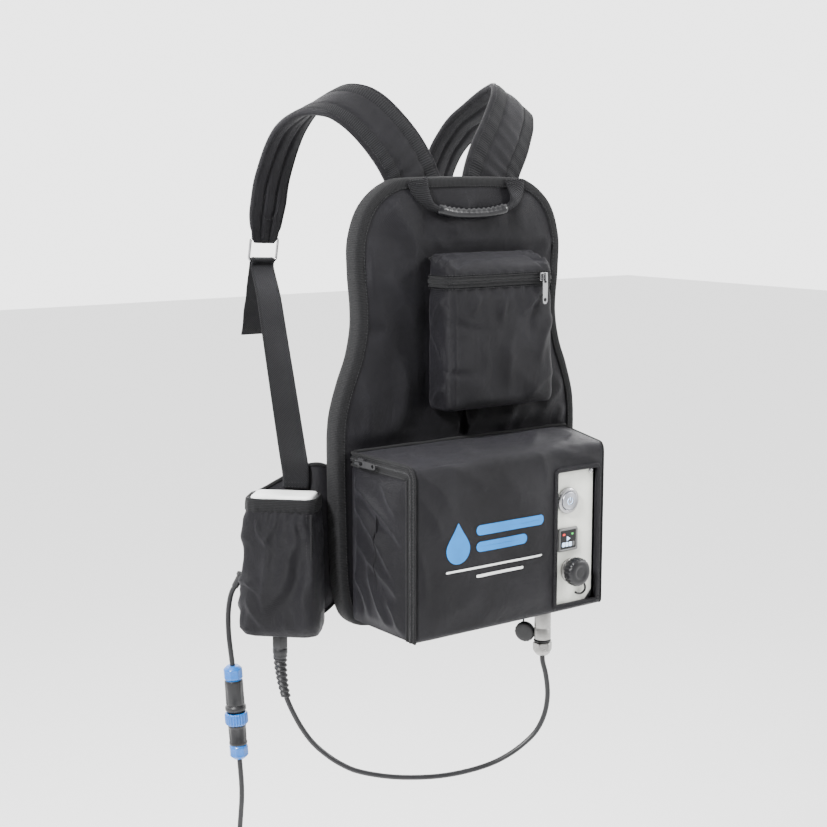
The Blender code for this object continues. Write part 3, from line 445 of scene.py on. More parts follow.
def close_ring(builder, row, layer):
    """Cap a ring with shrinking rings, so that the cap shades smoothly."""
    center = sum((vert.co for vert in row), Vector()) / len(row)
    last = row
    for scale in (0.85, 0.6, 0.3):
        inner = [builder.verts.new(center + (vert.co - center) * scale) for vert in row]
        for j in range(len(row)):
            k = (j + 1) % len(row)
            face = builder.faces.new((last[j], last[k], inner[k], inner[j]))
            for corner in face.loops:
                corner[layer].uv = (corner.vert.co.x + corner.vert.co.y * 0.7, corner.vert.co.z)
        last = inner
    builder.faces.new(last)


def side_axes(direction):
    helper = UP if abs(direction.z) < 0.9 else Vector((1, 0, 0))
    first = direction.cross(helper).normalized()
    return first, direction.cross(first)


def flatted(radius, depth, angle, flats):
    """Radius, at an angle, of a round section with flats cut as deep as depth."""
    return min(radius, (radius - depth) / cos((angle % (2 * pi / flats)) - pi / flats))


def lathe(name, profile, base, direction, materials, body="harness", sides=48, flats=0, ribs=0,
          closed=False, **options):
    """Revolve rows of (radius, along, depth) in millimetres. depth, which may be left out, is how
    far flats or ribs cut into that row."""
    direction = direction.normalized()
    first, second = side_axes(direction)
    rings = []
    for radius, along, *cut in metres(profile):
        depth = cut[0] if cut else 0.0
        ring = []
        for angle in circle(sides):
            size = radius - depth * (0.5 - 0.5 * cos(ribs * angle)) ** 2
            if flats:
                size = flatted(radius, depth, angle, flats)
            ring.append(base + direction * along + (first * cos(angle) + second * sin(angle)) * size)
        rings.append(ring)
    return loft(name, rings, materials, body, path_closed=closed, **options)


def path_frames(points, closed=False, hint=None):
    """Points with two cross directions that don't twist."""
    points = [Vector(point) for point in points]
    frames, side = [], hint
    for i, point in enumerate(points):
        behind, ahead = beside(points, i, closed)
        tangent = (ahead - behind).normalized()
        if side is None:
            side = side_axes(tangent)[0]
        side = (side - tangent * side.dot(tangent)).normalized()
        frames.append((point, side, tangent.cross(side)))
    return frames


def tube(name, points, radius, materials, body="harness", sides=10, closed=False, **options):
    rings = [[point + (side * cos(a) + other * sin(a)) * radius for a in circle(sides)]
             for point, side, other in path_frames(points, closed)]
    return loft(name, rings, materials, body, path_closed=closed, **options)


def stitches(name, points, normals, body="harness"):
    """A row of thread stitches: one small spindle for each, lying along the path. normals is one
    normal for the whole row, or a list with one for each point."""
    if isinstance(normals, Vector):
        normals = [normals] * len(points)
    builder = bmesh.new()
    travelled, target = 0.0, STITCH_PITCH / 2
    for start, end, normal in zip(points, points[1:], normals):
        start, end = Vector(start), Vector(end)
        span = (end - start).length
        direction = (end - start).normalized()
        while span and target <= travelled + span:
            center = start + direction * (target - travelled)
            side = direction.cross(normal).normalized()
            tips = [builder.verts.new(center + direction * (STITCH_LENGTH * t)
                                      - normal * (STITCH_RADIUS * 0.6)) for t in (-0.5, 0.5)]
            rings = []
            for t, tip in zip((-0.28, 0.28), tips):
                ring = [builder.verts.new(center + direction * (STITCH_LENGTH * t)
                                          + (side * cos(a) + normal * sin(a)) * STITCH_RADIUS)
                        for a in circle(6)]
                rings.append(ring)
                for k in range(6):
                    builder.faces.new((ring[k], ring[(k + 1) % 6], tip))
            low, high = rings
            for k in range(6):
                builder.faces.new((low[k], low[(k + 1) % 6], high[(k + 1) % 6], high[k]))
            target += STITCH_PITCH
        travelled += span
    bmesh.ops.recalc_face_normals(builder, faces=builder.faces)
    finish_piece(name, builder, ["thread"], body)


def repaint(material, *nodes):
    """Give CAD nodes whose shape is right a better material."""
    for node in nodes:
        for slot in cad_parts[node].material_slots:
            slot.link = "OBJECT"
            slot.material = LOOK[material]


add_camera()
LOOK = make_materials()
add_studio()

# ---------------------------------------------------------------- cords
CABLE = 0.0055
LOOP_ROUTE = metres([(46, -115, -172.1), (46.6, -115.4, -180), (49, -117.5, -193), (50.7, -118.8, -208),
                     (50.7, -119, -222), (48, -118, -238), (42, -115.2, -253), (33, -111, -265),
                     (15, -103, -279.5), (-7.5, -93, -290.5), (-37, -79.5, -297.5), (-68, -65.5, -299.5),
                     (-105, -49, -296), (-138, -34.5, -287), (-156, -26.5, -277), (-170.5, -19.5, -265),
                     (-184, -13.5, -250), (-194.5, -8.5, -232.5), (-202, -5, -216), (-206, -2.6, -205),
                     (-207.9, -1.3, -198.9)])
LEAD_UPPER_ROUTE = metres([(-242.3, 42.4, -84.3), (-244, 44.1, -88.5), (-245.8, 45.3, -95),
                           (-247.5, 45.7, -104), (-248.8, 45.3, -114), (-249.5, 44.4, -124),
                           (-249.7, 43.3, -135), (-249.3, 42.1, -146), (-248.5, 41.1, -157),
                           (-247.7, 40.3, -167.7)])
LEAD_LOWER_ROUTE = metres([(-243.3, 37.1, -269.7), (-242.8, 36.7, -280), (-242.2, 36.2, -292),
                           (-241.9, 36, -304), (-242.1, 36.1, -316), (-242.8, 36.6, -328),
                           (-243.6, 37.2, -340), (-244.3, 37.7, -352)])
CONNECTOR_TOP = Vector((-0.2477, 0.0403, -0.1680))
CONNECTOR_LOW = Vector((-0.2433, 0.0371, -0.2694))
HANK_X, HANK_Y, HANK_TOP, HANK_LENGTH, HANK_RUN = -0.2445, 0.0378, -0.3645, 0.104, 0.01225
HANK_CENTER = Vector((HANK_X - HANK_RUN, HANK_Y + 0.0082, HANK_TOP - HANK_LENGTH / 2))


def hank_route():
    """Three full folds of the lead and a last run that leaves for the plug."""
    bend = 0.0152
    high, low = HANK_TOP - bend, HANK_TOP - HANK_LENGTH + bend
    half_turn = [pi * k / 8 for k in range(1, 8)]
    x = HANK_CENTER.x
    points = []
    for layer in range(4):
        y = HANK_Y + CABLE * layer
        start = HANK_TOP - 0.002 if layer == 0 else high
        end = HANK_TOP - HANK_LENGTH - 0.0006 if layer == 3 else low
        points += [(x + HANK_RUN, y, start + (end - start) * t / 6) for t in range(7)]
        if layer == 3:
            break
        points += [(x + HANK_RUN * cos(a), y, low - HANK_RUN * sin(a)) for a in half_turn]
        points += [(x - HANK_RUN, y + CABLE * step_between(t, 0, 6), low + (high - low) * t / 6)
                   for t in range(7)]
        points += [(x - HANK_RUN * cos(a), y + CABLE, high + HANK_RUN * sin(a)) for a in half_turn]
    return points


def add_cord(name, route, nodes, **facts):
    data = bpy.data.curves.new(name, "CURVE")
    data.dimensions = "3D"
    data.bevel_depth = CABLE / 2
    data.bevel_resolution = 5
    data.use_fill_caps = True
    smooth = spline(route, 4)
    line = data.splines.new("POLY")
    line.points.add(len(smooth) - 1)
    for target, point in zip(line.points, smooth):
        target.co = (*point, 1.0)
    line.use_smooth = True
    data.materials.append(LOOK["cable"])
    piece = bpy.data.objects.new(name, data)
    bpy.context.collection.objects.link(piece)
    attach(piece, "harness")
    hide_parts(*nodes)
    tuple(route[0])


def build_connector():
    """Waterproof in-line connector, from its upper gland nut to its lower one."""
    length, mark_along, mark_radius = 100.8, 0.0457, 0.01112
    axis = (CONNECTOR_LOW - CONNECTOR_TOP).normalized()
    at = CONNECTOR_TOP
    nut = [(3.4, -0.4), (6.4, -0.3), (7.2, 0.6), (8.8, 2), (9.8, 3.2), (10.6, 4, 1.2), (10.8, 5.2, 1.4),
           (10.8, 11.6, 1.4), (10.2, 12.6, 0.6), (9.2, 13), (9, 15)]
    plug = [(9.2, 15.1), (9.5, 15.8), (9.7, 17.2), (9.7, 26, 0.7), (9.9, 40, 0.7), (9.8, 41.2), (9, 42),
            (9, 42.8), (10.8, 43.6), (11.1, 44.2), (11.1, 47.2), (10.8, 47.8), (9.5, 48.2), (9.4, 50.2)]
    ring = [(9.4, 50.3), (10.6, 50.5), (11.3, 50.9), (12, 51.8, 1.1), (12.2, 53, 1.4), (12.2, 61.2, 1.4),
            (11.9, 62.2, 0.8), (11, 63), (10.5, 63.4), (9.6, 63.4)]
    socket = [(8, 60), (9.6, 63.2), (9.6, 66), (9.2, 66.8), (9.4, 68, 0.6), (9.1, 82, 0.6), (9.6, 83),
              (9.6, 85), (9, 85.7)]
    low_nut = [(row[0], length - row[1], *row[2:]) for row in reversed(nut)]
    parts = [lathe("gland_nut_upper", nut, at, axis, ["blue"], sides=64, flats=8,
                   replaced=["connector_nut_upper"]),
             lathe("plug_body", plug, at, axis, ["plastic"], sides=72, ribs=6,
                   replaced=["connector_plug"])]
    lathe("coupling_ring_knurled", ring, at, axis, ["blue"], body="ring", sides=144, ribs=24,
          replaced=["coupling_ring"], closed=True)
    parts += [lathe("socket_body", socket, at, axis, ["plastic"], sides=72, ribs=6,
                    replaced=["connector_socket"]),
              lathe("gland_nut_lower", low_nut, at, axis, ["blue"], sides=64, flats=8,
                    replaced=["connector_nut_lower"])]
    first, second = side_axes(axis)
    for k in range(3):
        angle = radians(200 + 22 * k)
        middle = at + axis * mark_along + (first * cos(angle) + second * sin(angle)) * mark_radius
        line = [middle + axis * shift for shift in (-0.0011, 0.0, 0.0011)]
        parts.append(tube(f"alignment_mark_{k + 1}", line, 0.0003, ["white"], sides=6))
    return parts


def build_end_plug():
    base = Vector((HANK_CENTER.x + HANK_RUN, HANK_Y + 0.0164, HANK_TOP - HANK_LENGTH - 0.0003))
    rows = [(3.4, 0), (6, 0.2), (7, 1), (9.6, 2.4), (10.1, 3.4, 1), (10.1, 10.8, 1), (9.6, 11.8),
            (8.8, 12.4), (8.8, 13.4), (9.6, 14.2, 0.8), (9.8, 16, 1), (9.8, 31.8, 1), (9.4, 33, 0.4),
            (8.2, 33.8), (8, 41.8), (7.2, 42), (7, 38), (2, 37.8)]
    return lathe("lead_end_plug", rows, base, -UP, ["plastic"], sides=96, ribs=16, replaced=["end_plug"])


def build_hank_tie():
    """Hook-and-loop tie round the middle of the hank."""
    loop = rounded_rectangle((-0.0165, -0.0118), (0.0165, 0.0118), 0.0085, 8, 0.003)
    rings = []
    for scale, height in ((1.0, -0.0080), (1.035, -0.0076), (1.045, 0.0), (1.035, 0.0076), (1.0, 0.0080)):
        rings.append([HANK_CENTER + Vector((u * scale, v * scale, height)) for u, v in loop])
    return loft("lead_tie", rings, ["tape"], caps=(False, False), thickness=0.0011)


def build_cords():
    parts = build_connector()
    add_cord("loop_cord", LOOP_ROUTE, ["loop_cable"], length=0.412, far_end="object", lay="hanging")
    add_cord("upper_cord", LEAD_UPPER_ROUTE, ["lead_upper"], length=0.085, far_end="connector",
             lay="hanging", with_pieces=parts)
    add_cord("lower_cord", LEAD_LOWER_ROUTE + hank_route(), ["lead_lower", "lead_hank"], length=0.87,
             far_end="plug", lay="hanging", with_pieces=[build_end_plug(), build_hank_tie()])


# ---------------------------------------------------------------- back plate
PLATE_FRONT, PAD_BACK = -0.0300, -0.0123


def plate_outline(steps=6):
    half = metres([(60, -129), (122, -129), (147, -118), (157, -90), (160, -50), (162, 50), (161, 85),
                   (157, 106), (149, 130), (139, 155), (133, 182), (132.5, 207), (135.5, 240),
                   (135, 275), (122, 308), (95, 330), (60, 336)])
    return spline(half + [(-x, z) for x, z in reversed(half)], steps, closed=True)


def outward_normals(loop):
    """The outward direction (u, v) at each point of a closed, anticlockwise loop."""
    result = []
    for i in range(len(loop)):
        (au, av), (bu, bv) = beside(loop, i, closed=True)
        length = hypot(bu - au, bv - av)
        result.append(((bv - av) / length, (au - bu) / length))
    return result


def inset_loop(loop, distance):
    return [(u - distance * nu, v - distance * nv)
            for (u, v), (nu, nv) in zip(loop, outward_normals(loop))]


def shrinking(loop, core_low, core_high, cuts, place):
    """Rings from a flat loop to its core; place(u, v, t) puts a point, with t from 0 to 1."""
    rings = []
    for t in cuts:
        ring = []
        for u, v in loop:
            p = min(max(u, core_low[0]), core_high[0])
            q = min(max(v, core_low[1]), core_high[1])
            ring.append(place(u + (p - u) * t, v + (q - v) * t, t))
        rings.append(ring)
    return rings


# Low x, high x, low z and high z of the pocket and of the case on the plate.
FOOTPRINTS = ((-0.049, 0.101, 0.094, 0.258), (-0.146, 0.148, -0.130, 0.060))


def covered(x, z, margin):
    """1 well inside the pocket's or the case's footprint on the plate, 0 outside it."""
    best = 0.0
    for low_x, high_x, low_z, high_z in FOOTPRINTS:
        inside = min(x - low_x, high_x - x, z - low_z, high_z - z)
        best = max(best, step_between(inside, -margin, 0.0))
    return best


def panel_height(x, z, edge):
    """How far the padded panel stands out in front of its flat CAD face."""
    free = 1.0 - covered(x, z, 0.016)
    near = 1.0 - covered(x, z, 0.004)
    swell = step_between(edge, 0.004, 0.032)
    folds = ridged((x * 1.6 + z * 0.5, 0, z * 0.75), 14.0, 3.1) * 0.0012
    folds += smooth_noise((x, 0.2, z), 26.0) * 0.0011
    side = step_between(abs(x), 0.100, 0.145) * ridged((x * 0.6, 0, z * 1.8), 22.0, 8.0) * 0.0010
    soft = free * (swell * (0.0026 + folds) + side * step_between(edge, 0.0, 0.02))
    return soft + near * step_between(edge, 0.006, 0.018) * (0.0008 + 1.4 * creases(x, z, PANEL_FOLDS))


# Each row of a fold table is (u, v, end u, end v, height, width), in millimetres.
PANEL_FOLDS = metres([(-126, 318, -50, 280, 4.2, 17), (-53, 325, -43, 272, -2.6, 9),
                      (18, 350, 8, 296, 4, 8), (-22, 286, 10, 312, 3.4, 9), (30, 292, 100, 326, 3.6, 13),
                      (55, 284, 62, 330, -2.2, 8), (-124, 268, -134, 160, 3.2, 10),
                      (-140, 182, -95, 176, -2.2, 6), (-75, 150, -100, 70, 4, 12),
                      (-135, 130, -120, 66, 3, 9), (-95, 250, -70, 190, 3, 12),
                      (150, 290, 118, 256, 3.4, 6.5), (148, 190, 112, 150, 3.4, 6.5),
                      (155, 130, 112, 70, 4.2, 8), (170, 92, 135, 62, 3.4, 6.5),
                      (120, 225, 112, 170, 2.6, 6), (70, 92, 50, 58, 3.2, 5.5), (20, 92, 6, 60, 2.6, 6),
                      (95, 88, 78, 58, 2.6, 5)])
# How far each ring of a swollen face has shrunk towards its core.
CUTS = [0.0, 0.02, 0.045, 0.07] + [0.10 + 0.88 * k / 34 for k in range(35)]


def build_plate():
    outline = plate_outline()
    edge = inset_loop(outline, 0.0014)
    core = ((-0.0015, -0.020), (0.0015, 0.230))
    reach = 0.13

    def front(x, z, t):
        return Vector((x, PLATE_FRONT - panel_height(x, z, t * reach), z))

    loft("padded_panel", shrinking(edge, *core, CUTS, front), ["fabric"], caps=(False, True),
         thickness=0.0016, replaced=["front_panel"])

    def back(x, z, t):
        swell = step_between(t, 0.03, 0.22)
        channel = sum(exp(-((z - line) / 0.0045) ** 2) for line in (0.095, 0.165, 0.235))
        channel += exp(-(abs(x) / 0.006) ** 2) * step_between(z, 0.060, 0.080)
        lift = swell * (0.0030 - 0.0026 * min(channel, 1.0) + smooth_noise((x, 1, z), 18.0) * 0.0006)
        return Vector((x, PAD_BACK + lift * (0.15 if abs(z) < 0.060 and abs(x) < 0.105 else 1.0), z))

    loft("back_padding", shrinking(edge, *core, CUTS, back), ["mesh"], caps=(False, True),
         thickness=0.0016, replaced=["back_pad"])

    profile = metres([(10, -30.2), (10.1, -31.2), (8.5, -31.8), (5, -32.2), (1.8, -32), (0, -31.2),
                      (-1, -29), (-1.4, -25), (-1.4, -18), (-1, -13.8), (0, -11.6), (1.8, -10.7),
                      (5, -10.5), (8.5, -10.8), (10.1, -11.4), (10, -12.2)])
    loops = [inset_loop(outline, inset) for inset, _ in profile]
    rings = []
    for i in range(len(outline)):
        ring = []
        for loop, (_, y) in zip(loops, profile):
            x, z = loop[i]
            wobble = smooth_noise((x, y, z), 45.0) * 0.0006
            ring.append(Vector((x * (1 + wobble), y - wobble * 0.6, z * (1 + wobble))))
        rings.append(ring)
    loft("plate_binding", rings, ["tape"], ring_closed=False, path_closed=True, thickness=0.0007,
         replaced=["edge_binding"])
    seam = inset_loop(outline, 0.0086)
    for name, y, normal in (("front", -0.0321, FRONT), ("back", -0.0107, -FRONT)):
        stitches(f"binding_stitches_{name}", [(x, y, z) for x, z in seam + seam[:1]], normal)

    lumbar = rounded_rectangle((-0.0985, -0.0535), (0.0985, 0.0535), 0.020, 8, 0.006)
    lumbar_back = -0.0114

    def cushion(x, z, t):
        crown = sqrt(step_between(t, 0.0, 0.35))
        quilt = exp(-((abs(x) - 0.048) / 0.004) ** 2)
        return Vector((x, lumbar_back + 0.0108 * crown - 0.0030 * quilt * crown, z))

    pad = loft("lumbar_cushion", shrinking(lumbar, (-0.050, -0.001), (0.050, 0.001), CUTS, cushion),
               ["mesh"], caps=(False, True), thickness=0.0012, replaced=["lumbar_pad"])
    tube("lumbar_piping", [(x, -0.0112, z) for x, z in lumbar], 0.0018, ["tape"], closed=True)


# ---------------------------------------------------------------- shoulder straps
# Rows of x, y, z, the direction across the strap and half its width, from its base to its ring.
STRAP_ROUTES = {
    "left": [(-0.040, -0.0055, 0.290, -1, 0, 0, 0.034), (-0.042, -0.0050, 0.322, -1, 0, -0.10, 0.034),
             (-0.052, 0.000, 0.352, -0.95, 0, -0.32, 0.033), (-0.072, 0.010, 0.384, -0.85, 0, -0.50, 0.031),
             (-0.092, 0.026, 0.408, -0.80, 0, -0.58, 0.029), (-0.106, 0.050, 0.4165, -0.82, 0, -0.55, 0.026),
             (-0.116, 0.082, 0.409, -0.90, 0.05, -0.42, 0.023),
             (-0.124, 0.114, 0.385, -0.96, 0.10, -0.26, 0.021),
             (-0.129, 0.137, 0.345, -0.99, 0.10, -0.10, 0.0205), (-0.131, 0.149, 0.305, -1, 0.10, 0, 0.0205),
             (-0.1315, 0.153, 0.284, -1, 0.08, 0, 0.0185)],
    "right": [(0.052, -0.0055, 0.290, 1, 0, 0, 0.036), (0.055, -0.0050, 0.322, 1, 0, -0.08, 0.037),
              (0.068, 0.000, 0.352, 0.95, 0, -0.28, 0.037), (0.092, 0.008, 0.386, 0.88, 0, -0.45, 0.036),
              (0.112, 0.022, 0.412, 0.85, 0, -0.52, 0.034), (0.124, 0.046, 0.4215, 0.85, 0, -0.50, 0.031),
              (0.122, 0.086, 0.411, 0.90, 0.05, -0.40, 0.027),
              (0.112, 0.124, 0.385, 0.96, 0.10, -0.26, 0.025),
              (0.106, 0.150, 0.345, 0.99, 0.10, -0.10, 0.0235), (0.108, 0.160, 0.305, 1, 0.10, 0, 0.0225),
              (0.110, 0.163, 0.284, 1, 0.08, 0, 0.0185)],
}
STRAP_ENDS = {"left": Vector((-0.132, 0.1565, 0.265)), "right": Vector((0.1115, 0.1655, 0.265))}
STRAP_THICK = 0.0052


def swept_rows(rows, steps):
    """Smooth (x, y, z, width direction, half width, ...) rows into frames along the path. A frame
    is (center, width direction, normal, the rest of the row, distance from the start)."""
    smooth = spline(rows, steps)
    result = []
    travelled = 0.0
    for i, row in enumerate(smooth):
        behind, ahead = (Vector(near[0:3]) for near in beside(smooth, i))
        center, across = Vector(row[0:3]), Vector(row[3:6])
        tangent = (ahead - behind).normalized()
        across = (across - tangent * across.dot(tangent)).normalized()
        if i:
            travelled += (center - behind).length
        result.append((center, across, tangent.cross(across), row[6:], travelled))
    return result


def strap_end_frame(side):
    last = Vector(STRAP_ROUTES[side][-1][0:3])
    end = STRAP_ENDS[side]
    across = Vector(STRAP_ROUTES[side][-1][3:6]).normalized()
    down = (end - last).normalized()
    across = (across - down * across.dot(down)).normalized()
    away = across.cross(down)
    away = away if away.y > 0 else -away
    return end, across, down, away


def strap_relief(u, travelled, outer):
    """Padding profile across the strap: piped edges, two ribbed side bands and a middle band."""
    size = abs(u)
    if outer:
        height = -0.0012 * exp(-((size - 0.43) / 0.035) ** 2) - 0.0010 * exp(-((size - 0.87) / 0.03) ** 2)
        height += 0.0006 * (1 - (u / 0.43) ** 2) if size < 0.43 else 0.0
    else:
        height = -0.0022 * exp(-((size - 0.34) / 0.10) ** 2) - 0.0008 * exp(-((size - 0.87) / 0.04) ** 2)
    near_base = 1.0 - step_between(travelled, 0.05, 0.16)
    pucker = sin(2 * pi * travelled / 0.015 + 3.0 * u) * 0.0010 * near_base
    pucker += smooth_noise((u * 2.2, travelled * 34.0, 0), 1.0) * 0.0011 * (1 - size ** 4)
    return height + pucker


def build_strap(side):
    end, across, down, away = strap_end_frame(side)
    rows = [(*row, STRAP_THICK) for row in STRAP_ROUTES[side][:-1]]
    rows.append((*STRAP_ROUTES[side][-1], 0.0042))
    for back, half, thick in ((0.013, 0.0165, 0.0034), (0.005, 0.0150, 0.0030), (0.0, 0.0120, 0.0024)):
        rows.append((*(end - down * back), *across, half, thick))
    frames = swept_rows(rows, 9)
    edge_angles = [pi * k / 6 for k in range(1, 6)]
    outer = [0.93 - 1.86 * k / 30 for k in range(31)]
    rings, stitch_lines = [], {(edge, face): [] for face in (1, -1) for edge in (-1, 1)}
    flip = 1 if frames[len(frames) // 2][2].z > 0 else -1
    for center, width, normal, (half, thick), travelled in frames:
        normal = normal * flip
        swell = 1.0 + 0.10 * smooth_noise(center, 30.0, 2.0)
        bend = smooth_noise(center, 38.0, 5.0) * 0.0012
        bead = 0.0022 * thick / STRAP_THICK
        ring = []
        for face in (1, -1):
            for u in outer[::face]:
                crown = thick * swell * (1 - 0.25 * abs(u) ** 3)
                height = crown + strap_relief(u, travelled, face == 1) * thick / STRAP_THICK
                ring.append(center + width * (half * u) + normal * (height * face + bend))
            for angle in edge_angles:
                ring.append(center - width * (face * (half * 0.955 + bead * sin(angle) * 0.9))
                            + normal * (face * bead * 1.3 * cos(angle) + bend))
        rings.append(ring)
        for (edge, face), line in stitch_lines.items():
            u = 0.87 * edge
            lift = thick * swell * (1 - 0.25 * abs(u) ** 3) + strap_relief(u, travelled, face == 1)
            line.append((center + width * (half * u) + normal * (lift * face + bend), normal * face))
    bands = [1 if j < 30 and 0.43 < abs(outer[j] - 0.03) < 0.86 else 0 for j in range(30)]
    bands += [0] * (len(rings[0]) - len(bands))
    loft(f"padded_strap_{side}", rings, ["strap", "band"], bands=bands,
         replaced=[f"shoulder_strap_{side}"])
    for i, line in enumerate(stitch_lines.values()):
        stitches(f"strap_stitches_{side}_{i + 1}", [p for p, _ in line], [n for _, n in line])

    base = end - down * 0.042 - away * 0.0048
    oval = [base + across * (0.0105 * cos(a)) + down * (0.0150 * sin(a)) for a in circle(32) + [2 * pi]]
    stitches(f"strap_oval_{side}", oval, -away)

    top = end - down * 0.006
    middle = top + down * 0.013
    loop = rounded_rectangle((-0.01675, -0.013), (0.01675, 0.013), 0.0035, 5, 0.004)
    tube(f"wire_ring_{side}", [middle + across * u + down * v for u, v in loop], 0.0014, ["steel"],
         sides=12, closed=True, replaced=[f"strap_ring_{side}"])
    build_webbing(side, top + down * 0.026, across, down, away)


WING_ROOT = Vector((0.158, -0.020, 0))
WING_ALONG, WING_OUT = Vector((0.717, 0.697, 0)), Vector((0.697, -0.717, 0))


def mirrored(vector, sign):
    return Vector((sign * vector.x, vector.y, vector.z))


def on_wing(along, out, z, sign=-1):
    """World point from distance along a hip wing, distance out from its outer face, and height."""
    point = WING_ROOT + WING_ALONG * along + WING_OUT * out
    return Vector((sign * point.x, point.y, z))


def flat_band(name, rows, steps, material, **options):
    """Webbing: a flat band whose woven edges are slightly thicker. Rows end in half width, half thick."""
    rings = []
    for center, width, normal, (half, thick), _ in swept_rows(rows, steps):
        ring = []
        for face in (1, -1):
            for k in range(13):
                u = (1 - k / 6) * face
                lift = thick * (1.0 if abs(u) < 0.9 else 0.75 if abs(u) < 0.99 else 0.35)
                lift *= 1.25 if 0.80 < abs(u) < 0.93 else 1.0
                ring.append(center + width * (half * u) + normal * (lift * face))
        rings.append(ring)
    loft(name, rings, [material], **options)


def build_webbing(side, bottom, across, down, away):
    turn = 0.0029
    sign = -1 if side == "left" else 1
    landing, above = on_wing(0.040, 0.0026, 0.0200, sign), on_wing(0.040, 0.0042, 0.0400, sign)
    wing_across = mirrored(WING_ALONG, sign)
    final = wing_across if across.dot(wing_across) > 0 else -wing_across
    start = bottom - away * turn
    rows = []
    lean = Vector((-sign * 0.004, 0.002, 0))
    for drop, swing in ((0.088, 0.008), (0.075, 0.0060), (0.060, 0.0062), (0.045, 0.0036),
                        (0.030, 0.0030), (0.010, 0.0006)):
        rows.append((*(bottom + away * (turn + swing) + down * drop + lean * (drop / 0.088)), *across))
    for angle in range(0, 181, 30):
        round_wire = away * cos(radians(angle)) - down * sin(radians(angle))
        rows.append((*(bottom + round_wire * turn), *across))
    rows.append((*(start + down * 0.008), *across))
    for t in (0.18, 0.36, 0.54, 0.72, 0.88):
        rows.append((*start.lerp(above, t), *across.lerp(final, t * 0.75)))
    rows += [(*above, *final), (*landing, *final)]
    rows = [(*row, 0.0140, 0.0009) for row in rows]
    flat_band(f"webbing_{side}", rows, 5, "webbing", replaced=[f"strap_webbing_{side}"])
    for k, z in enumerate((0.022, 0.027, 0.034)):
        line = [on_wing(0.040 + w, 0.0044 + (z - 0.020) * 0.08, z, sign) for w in (-0.012, 0.0, 0.012)]
        stitches(f"webbing_stitches_{side}_{k + 1}", line, mirrored(WING_OUT, sign))


# ---------------------------------------------------------------- carry handle
def build_handle():
    """Webbing grab handle whose middle is folded round a toothed grip."""
    route = metres([(-61.5, -33.2, 335, 13.5), (-59, -35, 324, 11.5), (-53, -37.8, 313.5, 7.5),
                    (-43, -38.5, 306, 4), (-20, -38.5, 300.5, 4), (7, -38.5, 299, 4),
                    (34, -38.5, 300.5, 4), (57, -38.5, 306, 4), (65.5, -37.8, 313.5, 7.5),
                    (69, -35, 324, 11.5), (69, -33.2, 335, 13.5)])
    grip_start = 38
    smooth = spline(route, 12)
    grip_end = len(smooth) - 1 - grip_start
    rings, grip = [], []
    for i, (x, y, z, half) in enumerate(smooth):
        behind, ahead = beside(smooth, i)
        tangent = Vector((ahead[0] - behind[0], 0, ahead[2] - behind[2])).normalized()
        across = Vector((-tangent.z, 0, tangent.x))
        center = Vector((x, y, z))
        hollow = 0.0030 * step_between(half, 0.0125, 0.006)
        rings.append([center + across * (half * cos(a)) + FRONT * (0.0011 * sin(a) + hollow * sin(a) ** 2)
                      for a in circle(14)])
        if grip_start <= i <= grip_end:
            t = (i - grip_start) / (grip_end - grip_start)
            ease = min(1.0, 10 * t + 0.55, 10 * (1 - t) + 0.55)
            tooth = 0.0019 if i % 3 == 0 else 0.0
            ring = []
            for angle in circle(24):
                size = 0.0058 * ease + tooth * sqrt(max(0.0, 0.5 * cos(angle) + 0.5 * sin(angle)))
                ring.append(center + across * (size * cos(angle)) + FRONT * (0.0056 * ease * sin(angle)))
            grip.append(ring)
    loft("handle_tape", rings, ["webbing"], "handle", replaced=["handle_webbing"])
    loft("handle_tube", grip, ["grip"], "handle", replaced=["handle_grip"])
    for side, (low, high) in enumerate(((-0.0735, -0.0495), (0.0555, 0.0815))):
        for row, z in enumerate((0.3345, 0.3305)):
            y = -0.0345 - 0.0008 * row
            stitches(f"handle_stitches_{side + 1}_{row + 1}", [(low + 0.001 * row, y, z), (high, y, z)],
                     FRONT, "handle")


